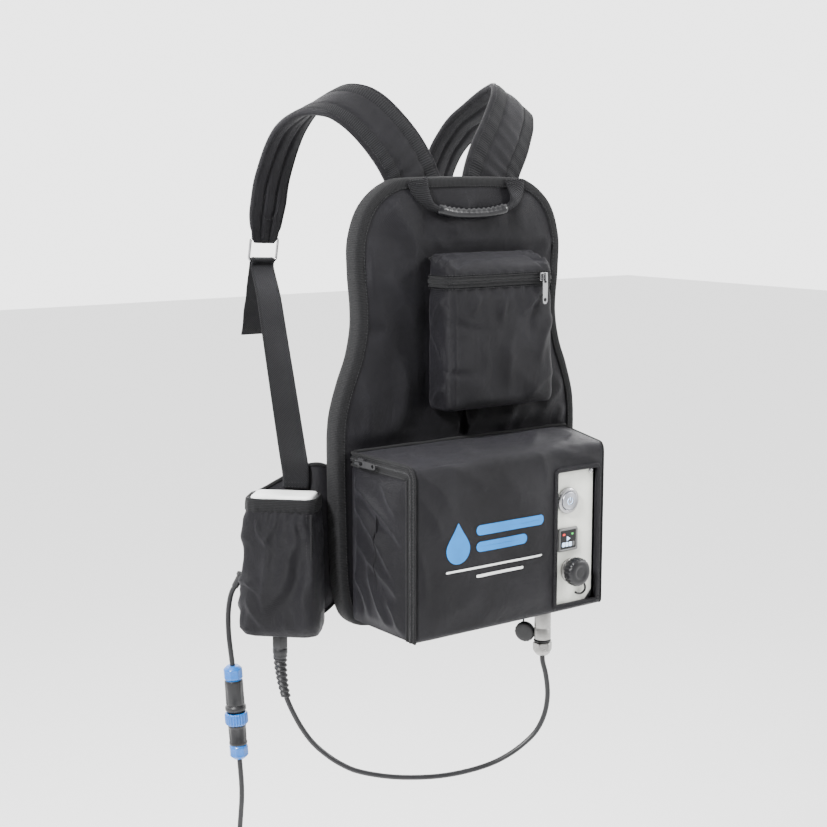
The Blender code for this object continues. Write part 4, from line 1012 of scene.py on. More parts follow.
# ---------------------------------------------------------------- hip wings and belt
def build_wing(side, sign):
    half_thick, face_points = 0.0046, 25
    rows = [(0.128, -0.0053, 0.030, -0.085), (0.150, -0.0052, 0.038, -0.105)]
    for along, top, bottom in ((0.018, 0.0445, -0.115), (0.035, 0.0410, -0.115), (0.0465, 0.0340, -0.115),
                               (0.070, 0.0200, -0.112), (0.085, 0.0100, -0.100), (0.0935, -0.0080, -0.075)):
        point = on_wing(along, -0.0050, 0, 1)
        rows.append((point.x, point.y, top, bottom))
    smooth = spline(rows, 7)
    rings, tops, bottoms = [], [], []
    for i, (x, y, top, bottom) in enumerate(smooth):
        behind, ahead = beside(smooth, i)
        tangent = Vector((ahead[0] - behind[0], ahead[1] - behind[1], 0)).normalized()
        out = Vector((tangent.y, -tangent.x, 0))
        end = min(1.0, (len(smooth) - 1 - i) / 5)
        thick = half_thick * sqrt(1 - (1 - end) ** 2) * 0.9 + 0.0010
        ring = []
        for face in (1, -1):
            for k in range(face_points):
                v = (1 - k / 12) * face
                z = (top + bottom) / 2 + v * (top - bottom) / 2
                swell = (1 - abs(v) ** 6) * thick
                channel = 0.0020 * exp(-((z + 0.030 + 0.9 * (x - 0.17)) / 0.004) ** 2) if face < 0 else 0.0
                lift = 0.0006 + swell - channel * step_between(swell, 0.0, 0.004)
                lift += smooth_noise((x, y, z), 40.0) * 0.0006
                ring.append(mirrored(Vector((x, y, z)) + out * (lift * face), sign))
        rings.append(ring)
        tops.append(Vector((sign * x, y, top)))
        bottoms.append(Vector((sign * x, y, bottom)))
    bands = [0] * face_points + [1] * face_points
    loft(f"padded_wing_{side}", rings, ["fabric", "mesh"], bands=bands, replaced=[f"hip_wing_{side}"])
    hem = [[point + across * (0.0022 * cos(a)) + other * (0.0030 * sin(a)) for a in circle(12)]
           for point, across, other in path_frames(tops + bottoms[::-1], hint=UP)]
    loft(f"wing_binding_{side}", hem, ["tape"])


def build_belt(side, sign):
    belt = [on_wing(along, -0.0130, 0, sign) for along in (0.062, 0.074, 0.086, 0.0965)]
    belt += [Vector((sign * x, y, 0)) for x, y in ((0.2140, 0.0690), (0.1950, 0.0930), (0.1550, 0.1280),
                                                   (0.1000, 0.1570), (0.0600, 0.1680), (0.0335, 0.1700))]
    drops = (-0.036, -0.036, -0.036, -0.0365, -0.0375, -0.039, -0.041, -0.044, -0.045, -0.045)
    rows = [(p.x, p.y, z, 0, 0, 1, 0.019, 0.0010) for p, z in zip(belt, drops)]
    flat_band(f"belt_{side}", rows, 7, "webbing", replaced=[f"belt_webbing_{side}"])
    for k, along in enumerate((0.064, 0.069)):
        line = [on_wing(along, -0.0143, z, sign) for z in (-0.052, -0.036, -0.020)]
        stitches(f"belt_stitches_{side}_{k + 1}", line, -mirrored(WING_OUT, sign))


# ---------------------------------------------------------------- zips
ZIP_PROFILE = [(-1.0, 0.1), (-0.94, 1.0), (-0.84, 1.3), (-0.74, 0.7), (-0.42, 0.6), (-0.34, 1.5),
               (-0.22, 1.9), (-0.09, 1.7), (-0.02, 0.7), (0.02, 0.7), (0.09, 1.7), (0.22, 1.9),
               (0.34, 1.5), (0.42, 0.6), (0.74, 0.7), (0.84, 1.3), (0.94, 1.0), (1.0, 0.1)]


def zip_band(name, path, outward, half_width, replaced):
    """Zip tapes with covered coils. path holds (point, width direction, outward direction)."""
    rings = []
    for point, width, out in path:
        wave = smooth_noise(point, 60.0) * 0.0001
        rings.append([point + width * (half_width * u) + out * (h * 0.001 + wave + outward)
                      for u, h in ZIP_PROFILE]
                     + [point + width * (half_width * u) + out * (outward - 0.0004) for u in (1.0, -1.0)])
    loft(name, rings, ["tape"], replaced=[replaced])


def coil(name, path, outward, gap=0.0009, pitch=0.0014, half_length=0.00035, half_height=0.0004):
    """Row of zip coil turns seen in the slot between the two tapes."""
    builder = bmesh.new()
    travelled, target = 0.0, 0.0
    section = ((-gap, -half_height), (-gap * 0.8, half_height), (gap * 0.8, half_height), (gap, -half_height))
    for (start, width, out), (end, _, _) in zip(path, path[1:]):
        span = (end - start).length
        direction = (end - start).normalized()
        while span and target <= travelled + span:
            center = start + direction * (target - travelled) + out * outward
            corners = [builder.verts.new(center + width * u + out * lift + direction * along)
                       for along in (-half_length, half_length) for u, lift in section]
            for a in range(4):
                b = (a + 1) % 4
                builder.faces.new((corners[a], corners[b], corners[b + 4], corners[a + 4]))
            builder.faces.new(corners[0:4])
            builder.faces.new(corners[4:8])
            target += pitch
        travelled += span
    bmesh.ops.recalc_face_normals(builder, faces=builder.faces)
    finish_piece(name, builder, ["plastic"], "harness")


# ---------------------------------------------------------------- tool pocket
POCKET_LOW, POCKET_HIGH, POCKET_CORNER = (-0.0465, -0.0675), (0.0955, -0.0306), 0.0085
POCKET_WIDTH, POCKET_DEPTH = POCKET_HIGH[0] - POCKET_LOW[0], POCKET_HIGH[1] - POCKET_LOW[1]
POCKET_MIDDLE = 0.0245


def pocket_loop(z, inset):
    """Plan ring of the soft pocket, a little wider at the bottom."""
    flare = 0.004 * (1 - step_between(z, 0.10, 0.20))
    loop = inset_loop(rounded_rectangle(POCKET_LOW, POCKET_HIGH, POCKET_CORNER, 6, 0.0028), inset)
    return [(x + flare * (x - POCKET_LOW[0]) / POCKET_WIDTH, y) for x, y in loop]


def pocket_swell(x, y, z):
    """Outward swell of the pocket's front and sides, with gathers under the zip."""
    if y > -0.034:
        return 0.0
    across = (x - POCKET_LOW[0]) / POCKET_WIDTH
    edge = step_between(min(across, 1 - across), -0.02, 0.22)
    height = step_between(z, 0.096, 0.106) * step_between(z, 0.2245, 0.210)
    gathers = sin(2 * pi * (x + 0.004 * sin(z * 130)) / 0.0165 + 5 * smooth_noise((x, 0, z), 20.0))
    gathers *= exp(-((0.2245 - z) / 0.016)) * 0.0011 * step_between(z, 0.2250, 0.2215)
    folds = ridged((x * 0.9 + z * 0.5, y, z * 0.5), 24.0, 1.7) * 0.0013
    folds += smooth_noise((x, y, z), 48.0, 4.0) * 0.0006
    folds += 1.3 * (creases(x, z, POCKET_FOLDS) if y < -0.060 else creases(y, z, POCKET_SIDE_FOLDS))
    seam = 0.0011 * exp(-((x - POCKET_LOW[0] - 0.0090) / 0.0013) ** 2) if y < -0.060 else 0.0
    return height * (0.0030 * edge + folds + seam) + gathers


POCKET_FOLDS = metres([(76, 228, 52, 192, 3.4, 4.8), (30, 218, 22, 186, 2.4, 4.2),
                       (-6, 222, -20, 196, 2, 4.5), (-47, 188, 4, 180, -2, 3.8),
                       (-47, 134, -14, 137, -1.7, 3.6), (44, 180, 26, 112, 2.2, 8.5),
                       (96, 196, 78, 140, 2.6, 6), (2, 160, -12, 104, 1.8, 8),
                       (96, 130, 60, 100, 2.4, 5), (60, 170, 74, 206, -1.6, 4.5)])
POCKET_SIDE_FOLDS = metres([(-66, 214, -40, 186, 2.2, 4), (-40, 180, -62, 140, 2, 4.5),
                            (-66, 120, -40, 104, 2.2, 4)])
LID_FOLDS = metres([(-46, -66, -22, -40, 3.4, 2.4), (-46, -54, -30, -34, 3, 2.4),
                    (-33, -67, -30, -36, -2.6, 2.6), (94, -66, 74, -40, 3.4, 2.6),
                    (94, -50, 84, -34, 2.8, 2.4), (82, -67, 80, -36, -2.4, 2.6),
                    (-20, -60, 70, -56, 1.2, 4)])


def swollen_ring(loop, z, swell):
    ring = []
    for (x, y), (nx, ny) in zip(loop, outward_normals(loop)):
        lift = swell(x, y, z)
        ring.append(Vector((x + nx * lift, y + ny * lift, z)))
    return ring


def lid_height(y):
    """The lid slopes up to the plate."""
    return 0.2425 + 0.0140 * (y - POCKET_LOW[1]) / POCKET_DEPTH


def lid_point(x, y, scale, lift):
    """Point of the lid's folded top, on a ring shrunk by scale."""
    middle_y = -0.0490
    u, v = POCKET_MIDDLE + (x - POCKET_MIDDLE) * scale, middle_y + (y - middle_y) * scale
    corner = step_between(abs(u - POCKET_MIDDLE), 0.045, 0.070)
    fold = corner * 0.0016 * sin(2 * pi * (u * 0.8 + v) / 0.011) * step_between(scale, 0.6, 0.95)
    fold += smooth_noise((u, v, 1), 55.0) * 0.0009
    fold += 1.5 * creases(u, v, LID_FOLDS) * step_between(scale, 1.0, 0.95)
    return Vector((u, v, lid_height(v) + lift + fold))


def lid_edge(x, y, z):
    return 0.0004 * sin(x * 420) + 0.0004


def flat(x, y, z):
    return 0.0


def pocket_zip_line():
    """Open line round the pocket's left side, front and right side at the height of its zip."""
    left, right, front, back = POCKET_LOW[0], POCKET_HIGH[0], POCKET_LOW[1], -0.0345
    corner, start = POCKET_CORNER, 0.009
    turns = (pi / 10, pi / 5, pi * 0.3, pi * 0.4)
    loop = [(left, y) for y in stations((back, front + start), 0.003)]
    loop += [(left + corner * (1 - cos(a)), front + corner * (1 - sin(a))) for a in turns]
    loop += [(x, front) for x in stations((left + start, right - start), 0.004)]
    loop += [(right - corner * (1 - sin(a)), front + corner * (1 - cos(a))) for a in turns]
    return loop + [(right, y) for y in stations((front + start, back), 0.003)]


def build_pocket():
    rings = []
    for inset, z in ((0.0060, 0.0950), (0.0030, 0.0953), (0.0012, 0.0963), (0.0003, 0.0978)):
        rings.append(swollen_ring(pocket_loop(z, inset), z, flat))
    for z in stations((0.1000, 0.1200, 0.2050, 0.2245), 0.0030):
        rings.append(swollen_ring(pocket_loop(z, 0.0), z, pocket_swell))
    loft("pocket_bag", rings, ["fabric"], caps=(True, False), thickness=0.0014,
         replaced=["pocket_body"])

    base = pocket_loop(0.3, 0.0)
    lid = [swollen_ring(base, z, lid_edge) for z in (0.2355, 0.2375, 0.2395)]
    for scale, lift in ((0.995, -0.0012), (0.975, 0.0), (0.93, 0.0012), (0.86, 0.0024), (0.76, 0.0034),
                        (0.64, 0.0042), (0.5, 0.0046), (0.35, 0.0048), (0.2, 0.0048)):
        lid.append([lid_point(x, y, scale, lift) for x, y in base])
    loft("pocket_lid", lid, ["fabric"], caps=(False, True), thickness=0.0012, replaced=["pocket_top"])
    for k, (y, z, radius) in enumerate(((-0.0325, 0.2568, 0.0015), (-0.0350, 0.2552, 0.0011))):
        line = []
        for x in stations((-0.0455, 0.0950), 0.004):
            dip = 0.0034 * step_between(abs(x - POCKET_MIDDLE), 0.055, 0.071)
            line.append((x, y - 0.0008 * smooth_noise((x, 0, 0), 60),
                         z - dip + smooth_noise((x, 0, 3), 55) * 0.0006))
        tube(f"pocket_piping_{k + 1}", line, radius, ["tape"], sides=8)

    out_of_bag, zip_height, seam = 0.0006, 0.2300, 0.0072
    path = []
    loop = pocket_zip_line()
    for i, (x, y) in enumerate(loop):
        (ax, ay), (bx, by) = beside(loop, i)
        out = Vector((by - ay, ax - bx, 0)).normalized()
        path.append((Vector((x, y, zip_height)) + out * out_of_bag, UP, out))
    zip_band("pocket_zip_tapes", path, 0.0, 0.0060, "pocket_zip")
    coil("pocket_zip_coil", path, 0.0011)
    for k, drop in enumerate((seam, -seam)):
        stitches(f"pocket_zip_stitches_{k + 1}", [p + UP * drop + out * 0.0006 for p, _, out in path],
                 [out for _, _, out in path])
    repaint("steel", "pocket_slider", "pocket_puller")


# ---------------------------------------------------------------- battery case
CASE_LEFT, CASE_FRONT, CASE_BACK, CASE_BOTTOM, CASE_TOP = -0.1425, -0.1410, -0.0316, -0.1190, 0.0580
WINDOW = (0.0405, 0.0985, -0.1120, 0.0335)
CASE_RIGHT_FRONT, CASE_RIGHT_EDGE, CASE_ROUNDING = 0.106, 0.1035, 0.0035


def case_slant(x, y):
    """The right side of the case slants in towards the front."""
    right = CASE_RIGHT_FRONT + 0.042 * (y - CASE_FRONT) / 0.1097
    return CASE_LEFT + (x - CASE_LEFT) * (right - CASE_LEFT) / (CASE_RIGHT_FRONT - CASE_LEFT)


def case_front_swell(x, z):
    left, high = WINDOW[0], WINDOW[3]
    wide = step_between(x, CASE_LEFT, CASE_LEFT + 0.040) * step_between(x, left - 0.002, left - 0.030)
    tall = step_between(z, CASE_BOTTOM, CASE_BOTTOM + 0.035) * step_between(z, CASE_TOP, CASE_TOP - 0.028)
    folds = ridged((x * 0.8 + z * 0.35, 0, z * 0.55), 15.0, 6.2) * 0.0011
    folds += smooth_noise((x, 0, z), 34.0, 2.0) * 0.0007
    edges = step_between(x, CASE_LEFT, CASE_LEFT + 0.008) * step_between(z, CASE_BOTTOM, CASE_BOTTOM + 0.010)
    hem = 1.0 if z > high + 0.006 or x < left - 0.006 else 0.0
    return wide * tall * (0.0026 + folds) + edges * hem * creases(x, z, FRONT_FOLDS)


FRONT_FOLDS = metres([(-139, 50, -98, 14, 2.2, 5), (-141, 30, -112, -12, 1.8, 4.5),
                      (-128, 56, -40, 34, 2.6, 8), (-141, -20, -130, -80, 1.4, 4.5),
                      (12, 56, 34, 20, 1.8, 5.5), (50, 56, 102, 38, 1.8, 3.4),
                      (36, 50, 75, 40, -1.4, 3.4), (-60, -112, 30, -86, 1.6, 11),
                      (-30, 40, 10, 10, 1.4, 9), (-110, -100, -60, -60, 1.4, 10)])
RIGHT_FOLDS = metres([(-136, 20, -60, -10, 4, 8), (-136, -50, -70, -20, -4.6, 9),
                      (-134, -90, -60, -70, 3.6, 8), (-50, 40, -60, -100, 2.6, 8)])
TOP_FOLDS = metres([(-130, -130, -90, -60, 2.6, 6), (-60, -135, -40, -50, 2.2, 9),
                    (20, -130, 50, -60, 2.6, 7), (60, -135, 100, -90, 2.6, 5),
                    (85, -60, 100, -120, 2.4, 5), (0, -50, 70, -44, -1.6, 5)])


def case_swell(x, y, z, normal):
    if normal.y < -0.5:
        return case_front_swell(x, z)
    if normal.y > 0.5:
        return 0.0
    ends = step_between(x, CASE_LEFT, CASE_LEFT + 0.030) * step_between(x, 0.104, 0.080)
    deep = step_between(y, CASE_FRONT, CASE_FRONT + 0.022) * step_between(y, CASE_BACK, CASE_BACK - 0.020)
    folds = ridged((x * 0.5, y * 1.2, z), 17.0, 2.6) * 0.0014 + smooth_noise((x, y, z), 40.0) * 0.0008
    return ends * deep * (0.0024 + folds + creases(x, y, TOP_FOLDS))


def case_section():
    """(y, z) loop with outward normals: back along the top to the front, down it, and back below."""
    loop = []

    def arc(y, z, radius, start, count=6):
        for k in range(count + 1):
            angle = radians(start + 90 * k / count)
            loop.append((y + radius * cos(angle), z + radius * sin(angle), cos(angle), sin(angle)))

    top, low, back, step = 0.010, 0.006, 0.003, 0.0036
    arc(CASE_BACK - back, CASE_TOP - back, back, 0, 3)
    for y in stations((CASE_BACK - back, CASE_FRONT + top), step)[1:-1]:
        loop.append((y, CASE_TOP, 0, 1))
    arc(CASE_FRONT + top, CASE_TOP - top, top, 90)
    for z in stations((CASE_TOP - top, WINDOW[3], WINDOW[2], CASE_BOTTOM + low), step)[1:-1]:
        loop.append((CASE_FRONT, z, -1, 0))
    arc(CASE_FRONT + low, CASE_BOTTOM + low, low, 180, 4)
    for y in stations((CASE_FRONT + low, CASE_BACK - back), 0.0044)[1:-1]:
        loop.append((y, CASE_BOTTOM, 0, -1))
    arc(CASE_BACK - back, CASE_BOTTOM + back, back, 270, 3)
    for z in stations((CASE_BOTTOM + back, CASE_TOP - back), 0.008)[1:-1]:
        loop.append((CASE_BACK, z, 1, 0))
    return loop


def case_end(section):
    """Rings that round the case's right edge and close its swollen right side."""
    middle_y, middle_z = (CASE_FRONT + CASE_BACK) / 2, (CASE_TOP + CASE_BOTTOM) / 2
    rings = []
    for angle in (22, 45, 67, 90):
        inset = CASE_ROUNDING * (1 - cos(radians(angle)))
        x = CASE_RIGHT_EDGE + CASE_ROUNDING * sin(radians(angle))
        rings.append([Vector((case_slant(x, y), y - ny * inset, z - nz * inset)) for y, z, ny, nz in section])
    for scale in [0.97, 0.93] + [0.88 - 0.04 * k for k in range(22)]:
        ring = []
        for y, z, ny, nz in section:
            y, z = y - ny * CASE_ROUNDING, z - nz * CASE_ROUNDING
            v, w = middle_y + (y - middle_y) * scale, middle_z + (z - middle_z) * scale
            across = 1 - ((v - middle_y) / (CASE_BACK - middle_y)) ** 2
            upright = 1 - ((w - middle_z) / (CASE_TOP - middle_z)) ** 2
            soft = sqrt(max(across, 0.0)) * sqrt(max(upright, 0.0))
            bulge = soft * (0.0056 + ridged((0, v, w * 0.5), 22.0, 9.0) * 0.0012 + creases(v, w, RIGHT_FOLDS))
            ring.append(Vector((case_slant(CASE_RIGHT_EDGE + CASE_ROUNDING, v) + bulge, v, w)))
        rings.append(ring)
    return rings


def build_case():
    section = case_section()
    columns = stations((CASE_LEFT, WINDOW[0], WINDOW[1], CASE_RIGHT_EDGE), 0.0034)
    rings = []
    for x in columns:
        ring = []
        for y, z, ny, nz in section:
            normal = Vector((0, ny, nz))
            ring.append(Vector((case_slant(x, y), y, z)) + normal * case_swell(x, y, z, normal))
        rings.append(ring)
    first, last = (min(range(len(columns)), key=lambda i: abs(columns[i] - x)) for x in WINDOW[:2])

    def in_window(i, j):
        _, z, front, _ = section[j]
        next_z = section[(j + 1) % len(section)][1]
        return first <= i < last and front == -1 and z <= WINDOW[3] + 1e-6 and next_z >= WINDOW[2] - 1e-6

    loft("case_fabric", rings + case_end(section), ["fabric"], caps=(False, True), thickness=0.0018,
         skip=in_window, replaced=["case_cover"])

    hem = rounded_rectangle((WINDOW[0], WINDOW[2]), (WINDOW[1], WINDOW[3]), 0.003, 4, 0.004)
    rings = []
    for inset, y in ((-0.0040, -0.1414), (-0.0034, -0.1424), (0.0, -0.1426), (0.0012, -0.1420),
                     (0.0014, -0.1400), (0.0010, -0.1376)):
        rings.append([Vector((x, y, z)) for x, z in inset_loop(hem, inset)])
    loft("window_hem", rings, ["fabric"], caps=(False, False), thickness=0.0008)
    outer = inset_loop(hem, -0.0024)
    stitches("window_stitches", [(x, -0.1427, z) for x, z in outer + outer[:1]], FRONT)

    top_line = []
    for x in stations((CASE_LEFT, 0.1065), 0.006):
        wave = smooth_noise((x, 0, 0), 40) * 0.0008
        top_line.append((case_slant(x, CASE_BACK), CASE_BACK - 0.0012, CASE_TOP + 0.0008 + wave))
    tube("case_piping_top_back", top_line, 0.0021, ["tape"], sides=8)
    ends = [row for row in section if not (row[2] == 1 and CASE_BOTTOM + 0.008 < row[1] < CASE_TOP - 0.008)]
    right_line = [(case_slant(0.1062, y), y - ny * 0.0008, z - nz * 0.0008) for y, z, ny, nz in ends[:-2]]
    tube("case_piping_right", right_line, 0.0013, ["tape"], sides=8)
    build_case_side()
    build_mark()


DOOR_FOLDS = metres([(-44, 30, -126, -22, 4.4, 6.2), (-37, 10, -121, -63, 4, 5.6),
                     (-60, 12, -124, -34, -2.6, 6), (-52, -30, -125, -82, 4.2, 5.6),
                     (-68, -54, -100, -112, 3.8, 5.5), (-41, -62, -66, -106, 3.6, 5.5),
                     (-84, 40, -127, 12, 4.6, 8.5), (-45, -80, -50, -112, -2.4, 5),
                     (-100, -85, -124, -110, 3.4, 5)])


def build_case_side():
    """Zipped side door and the zip band round its front and top."""
    door_edge, door_face, zip_face = -0.1430, -0.1448, -0.1446
    loop = rounded_rectangle((-0.1282, -0.1178), (-0.0337, 0.0452), 0.005, 4, 0.0032)

    def place(y, z, t):
        swell = step_between(t, 0.0, 0.30)
        folds = ridged((0, y * 1.1 + z * 0.7, z * 0.35 - y * 0.6), 19.0, 4.4) * 0.0018
        folds += smooth_noise((0, y, z), 38.0) * 0.0008 + creases(y, z, DOOR_FOLDS)
        return Vector((door_face - swell * (0.0022 + folds), y, z))

    rings = [[Vector((door_edge, y, z)) for y, z in loop]]
    rings += shrinking(loop, (-0.0815, -0.075), (-0.0805, 0.002), CUTS, place)
    loft("side_door_fabric", rings, ["fabric"], "side_door", caps=(False, True), thickness=0.0012,
         replaced=["case_gusset"])

    half, radius = 0.0061, 0.012
    center_y, corner_y, corner_z = CASE_FRONT + half, CASE_FRONT + radius, CASE_TOP - radius
    path = [(Vector((zip_face, center_y, z)), Vector((0, 1, 0)), WEARER_LEFT)
            for z in stations((CASE_BOTTOM + 0.001, corner_z), 0.004)]
    for k in range(1, 6):
        angle = pi / 2 * k / 6
        direction = Vector((0, -cos(angle), sin(angle)))
        point = Vector((zip_face, corner_y, corner_z)) + direction * (radius - half)
        path.append((point, -direction, WEARER_LEFT))
    path += [(Vector((zip_face, y, CASE_TOP - half)), -UP, WEARER_LEFT)
             for y in stations((corner_y, -0.0330), 0.004)]
    zip_band("case_zip_tapes", path, -0.0003, half, "case_zip")
    coil("case_zip_coil", path, 0.0012)
    for name, shift in (("outer", -half - 0.0006), ("inner", half - 0.0002)):
        line = [point + width * shift + WEARER_LEFT * 0.0003 for point, width, _ in path]
        tube(f"case_zip_piping_{name}", line, 0.0015, ["tape"], sides=8)
    seam = [point - width * 0.0042 + WEARER_LEFT * 0.0008 for point, width, _ in path]
    stitches("case_zip_stitches", seam, WEARER_LEFT)
    repaint("plastic", "case_slider", "case_puller")


def decal(name, loop, material, lift=0.00035):
    """Flat printed shape lying on the swollen front of the case."""
    low = (min(x for x, _ in loop), min(z for _, z in loop))
    high = (max(x for x, _ in loop), max(z for _, z in loop))
    size = min(high[0] - low[0], high[1] - low[1]) / 2
    core_low, core_high = (low[0] + size, low[1] + size), (high[0] - size, high[1] - size)

    def place(x, z, _):
        return Vector((x, CASE_FRONT - case_front_swell(x, z) - lift, z))

    rings = shrinking(loop, core_low, core_high, [0, 0.15, 0.35, 0.6, 0.85, 0.97], place)
    loft(name, rings, [material], caps=(False, True))


def build_mark():
    """Plain water-drop mark and bars, in place of printing."""
    center_x, center_z, size = -0.0930, -0.0290, 0.0150
    drop = []
    for angle in circle(48):
        pull = max(0.0, sin(angle)) ** 3
        drop.append((center_x + size * cos(angle) * (1 - 0.72 * pull),
                     center_z + size * sin(angle) + 0.0120 * pull))
    decal("drop_mark", drop, "print")
    bars = ((-0.0700, 0.0200, -0.0130, 0.0052, "print"), (-0.0700, -0.0030, -0.0300, 0.0052, "print"),
            (-0.1080, 0.0180, -0.0510, 0.0011, "white"), (-0.0700, -0.0080, -0.0600, 0.0015, "white"))
    for k, (left, right, z, half, ink) in enumerate(bars):
        loop = rounded_rectangle((left, z - half), (right, z + half), half * 0.98, 5, 0.003)
        decal(f"bar_mark_{k + 1}", loop, ink)


# ---------------------------------------------------------------- control panel
PLATE_Y = -0.1375
BUTTON_AT = Vector((0.0583, 0.0, 0.0006))
SCREEN_AT = Vector((0.0590, 0.0, -0.0415))
CHARGE_AT = Vector((0.0635, 0.0, -0.0755))


def on_screen(loop, depth):
    """A flat loop on the display, so far out from its glass."""
    return [Vector((SCREEN_AT.x + x, PLATE_Y - 0.0013 - depth, SCREEN_AT.z + z)) for x, z in loop]


def build_button():
    face = BUTTON_AT + Vector((0, PLATE_Y, 0))
    bezel = [(11, -22), (11.2, -0.2), (14, 0), (14.1, 0.8), (14.1, 1.8), (13.6, 2.8), (12.6, 3.5),
             (11.2, 3.7), (10.4, 3.4), (10.2, 2.6), (10.2, -1)]
    lathe("switch_bezel", bezel, face, FRONT, ["steel"], sides=72, replaced=["button_bezel"])
    cap = [(9.2, 1.2), (9.9, 1.4), (9.9, 3.6), (9.6, 4.3), (9, 4.7), (8.2, 4.7), (7.8, 4.4), (7, 4.4),
           (6, 4.8), (4, 5.1), (2, 5.2)]
    lathe("switch_cap", cap, face, FRONT, ["cap"], "button", sides=72, replaced=["button_cap"])
    symbol, size = face + FRONT * 0.0052, 0.0034
    angles = [radians(38 + 284 * k / 24) for k in range(25)]
    arc = [symbol + Vector((size * sin(a), 0, size * cos(a))) for a in angles]
    bar = [symbol + Vector((0, 0, z)) for z in (0.0008, 0.0026, 0.0044)]
    for kind, radius, lift, ink in (("glow", 0.00085, -0.0002, "lit"), ("symbol", 0.00042, 0.0004, "screen")):
        for shape, line in (("arc", arc), ("bar", bar)):
            tube(f"switch_{kind}_{shape}", [p + FRONT * lift for p in line], radius, [ink], "button", sides=8)


def build_display():
    """Framed window with a few lit symbols, none of them a letter or figure."""
    rings = []
    for half_x, half_z, depth, radius in ((0.0136, 0.0126, 0.0, 0.0018), (0.0136, 0.0126, 0.0010, 0.0018),
                                          (0.0132, 0.0122, 0.0020, 0.0016), (0.0122, 0.0112, 0.0023, 0.0012),
                                          (0.0112, 0.0102, 0.0021, 0.0008), (0.0110, 0.0100, 0.0012, 0.0006)):
        loop = rounded_rectangle((-half_x, -half_z), (half_x, half_z), radius)
        rings.append([Vector((SCREEN_AT.x + x, PLATE_Y - depth, SCREEN_AT.z + z)) for x, z in loop])
    loft("display_frame", rings, ["frame"], caps=(True, False), replaced=["battery_indicator"])
    loop = rounded_rectangle((-0.0109, -0.0099), (0.0109, 0.0099), 0.0008, 4, 0.002)
    glass = [on_screen([(x * s, z * s) for x, z in loop], 0.0003 * (1 - s)) for s in (1.0, 0.98, 0.7, 0.4)]
    loft("display_window", glass, ["screen"], caps=(False, True))
    lights = ((-0.0058, 0.0056, 0.0016, 0.0010, "red"), (0.0060, 0.0056, 0.0013, 0.0009, "green"),
              (-0.0064, -0.0052, 0.0020, 0.0024, "lit"), (-0.0016, -0.0052, 0.0020, 0.0024, "lit"),
              (0.0032, -0.0052, 0.0020, 0.0024, "lit"), (0.0076, -0.0052, 0.0014, 0.0024, "frame"))
    for k, (x, z, w, h, ink) in enumerate(lights):
        loop = rounded_rectangle((x - w, z - h), (x + w, z + h), min(w, h) * 0.5, 3, 0.001)
        loft(f"display_light_{k + 1}", [on_screen(loop, depth) for depth in (0.0001, 0.0005)], [ink])
    wedge = [(-0.0016, 0.0036), (0.0030, 0.0010), (-0.0016, -0.0014)]
    loft("display_wedge", [on_screen(wedge, depth) for depth in (0.0001, 0.0005)], ["lit"])


def build_charge_port():
    face = CHARGE_AT + Vector((0, PLATE_Y, 0))
    socket = [(9.3, -20), (9.4, -0.1), (12.8, 0), (13.1, 0.6), (13.1, 1.8), (12.7, 2.3), (9.6, 2.4),
              (9.4, 3.4), (9.5, 9.8), (9.2, 10.1), (6.9, 10.1), (6.8, -11.5)]
    lathe("charge_port", socket, face, FRONT, ["satin"], sides=64, replaced=["charge_socket"])
    cap = [(10.2, 9.8), (10.2, 6.4), (13.8, 6.3), (14.7, 6.8, 0.6), (15.2, 7.6, 1.1), (15.2, 14, 1.1),
           (14.8, 15, 0.8), (13.8, 16.4), (12, 17.6), (9.6, 18.2), (7, 17.8), (6, 17.2), (4.8, 17.2),
           (3, 17.4)]
    lathe("charge_cover", cap, face, FRONT, ["rubber"], "cap", sides=120, ribs=20, caps=(False, True),
          replaced=["charge_cap"])
    y, radius = face.y - 0.0043, 0.0112
    route = [(CHARGE_AT.x + radius * cos(radians(a)), y, CHARGE_AT.z + radius * sin(radians(a)))
             for a in range(170, -61, -15)]
    route += [(0.0755, y, -0.0890), (0.0815, y + 0.0004, -0.0935), (0.0825, y + 0.0010, -0.1000),
              (0.0770, y + 0.0018, -0.1035), (0.0700, y + 0.0024, -0.1010)]
    tube("cap_strap", spline(route, 4), 0.0012, ["rubber"], sides=10, replaced=["cap_tether"])


def build_controls():
    build_button()
    build_display()
    build_charge_port()
    head = [(1, 0.4), (1.2, 1.1), (1.9, 1.2), (2.6, 1), (2.9, 0.6), (2.9, 0)]
    for k, (x, z) in enumerate(((0.0340, 0.0285), (0.0340, -0.1070), (0.0912, 0.0288))):
        lathe(f"panel_screw_{k + 1}", head, Vector((x, PLATE_Y, z)), FRONT, ["steel"], sides=32,
              caps=(True, False), replaced=[f"plate_screw_{k + 1}"])
    repaint("panel", "control_plate")
    repaint("aluminium", "battery_housing")
    repaint("cell", "battery_pack")
    repaint("board", "control_board")
    repaint("plastic", "stiffener_board", "buckle_socket", "buckle_plug")
    repaint("rubber", "lead_grommet")


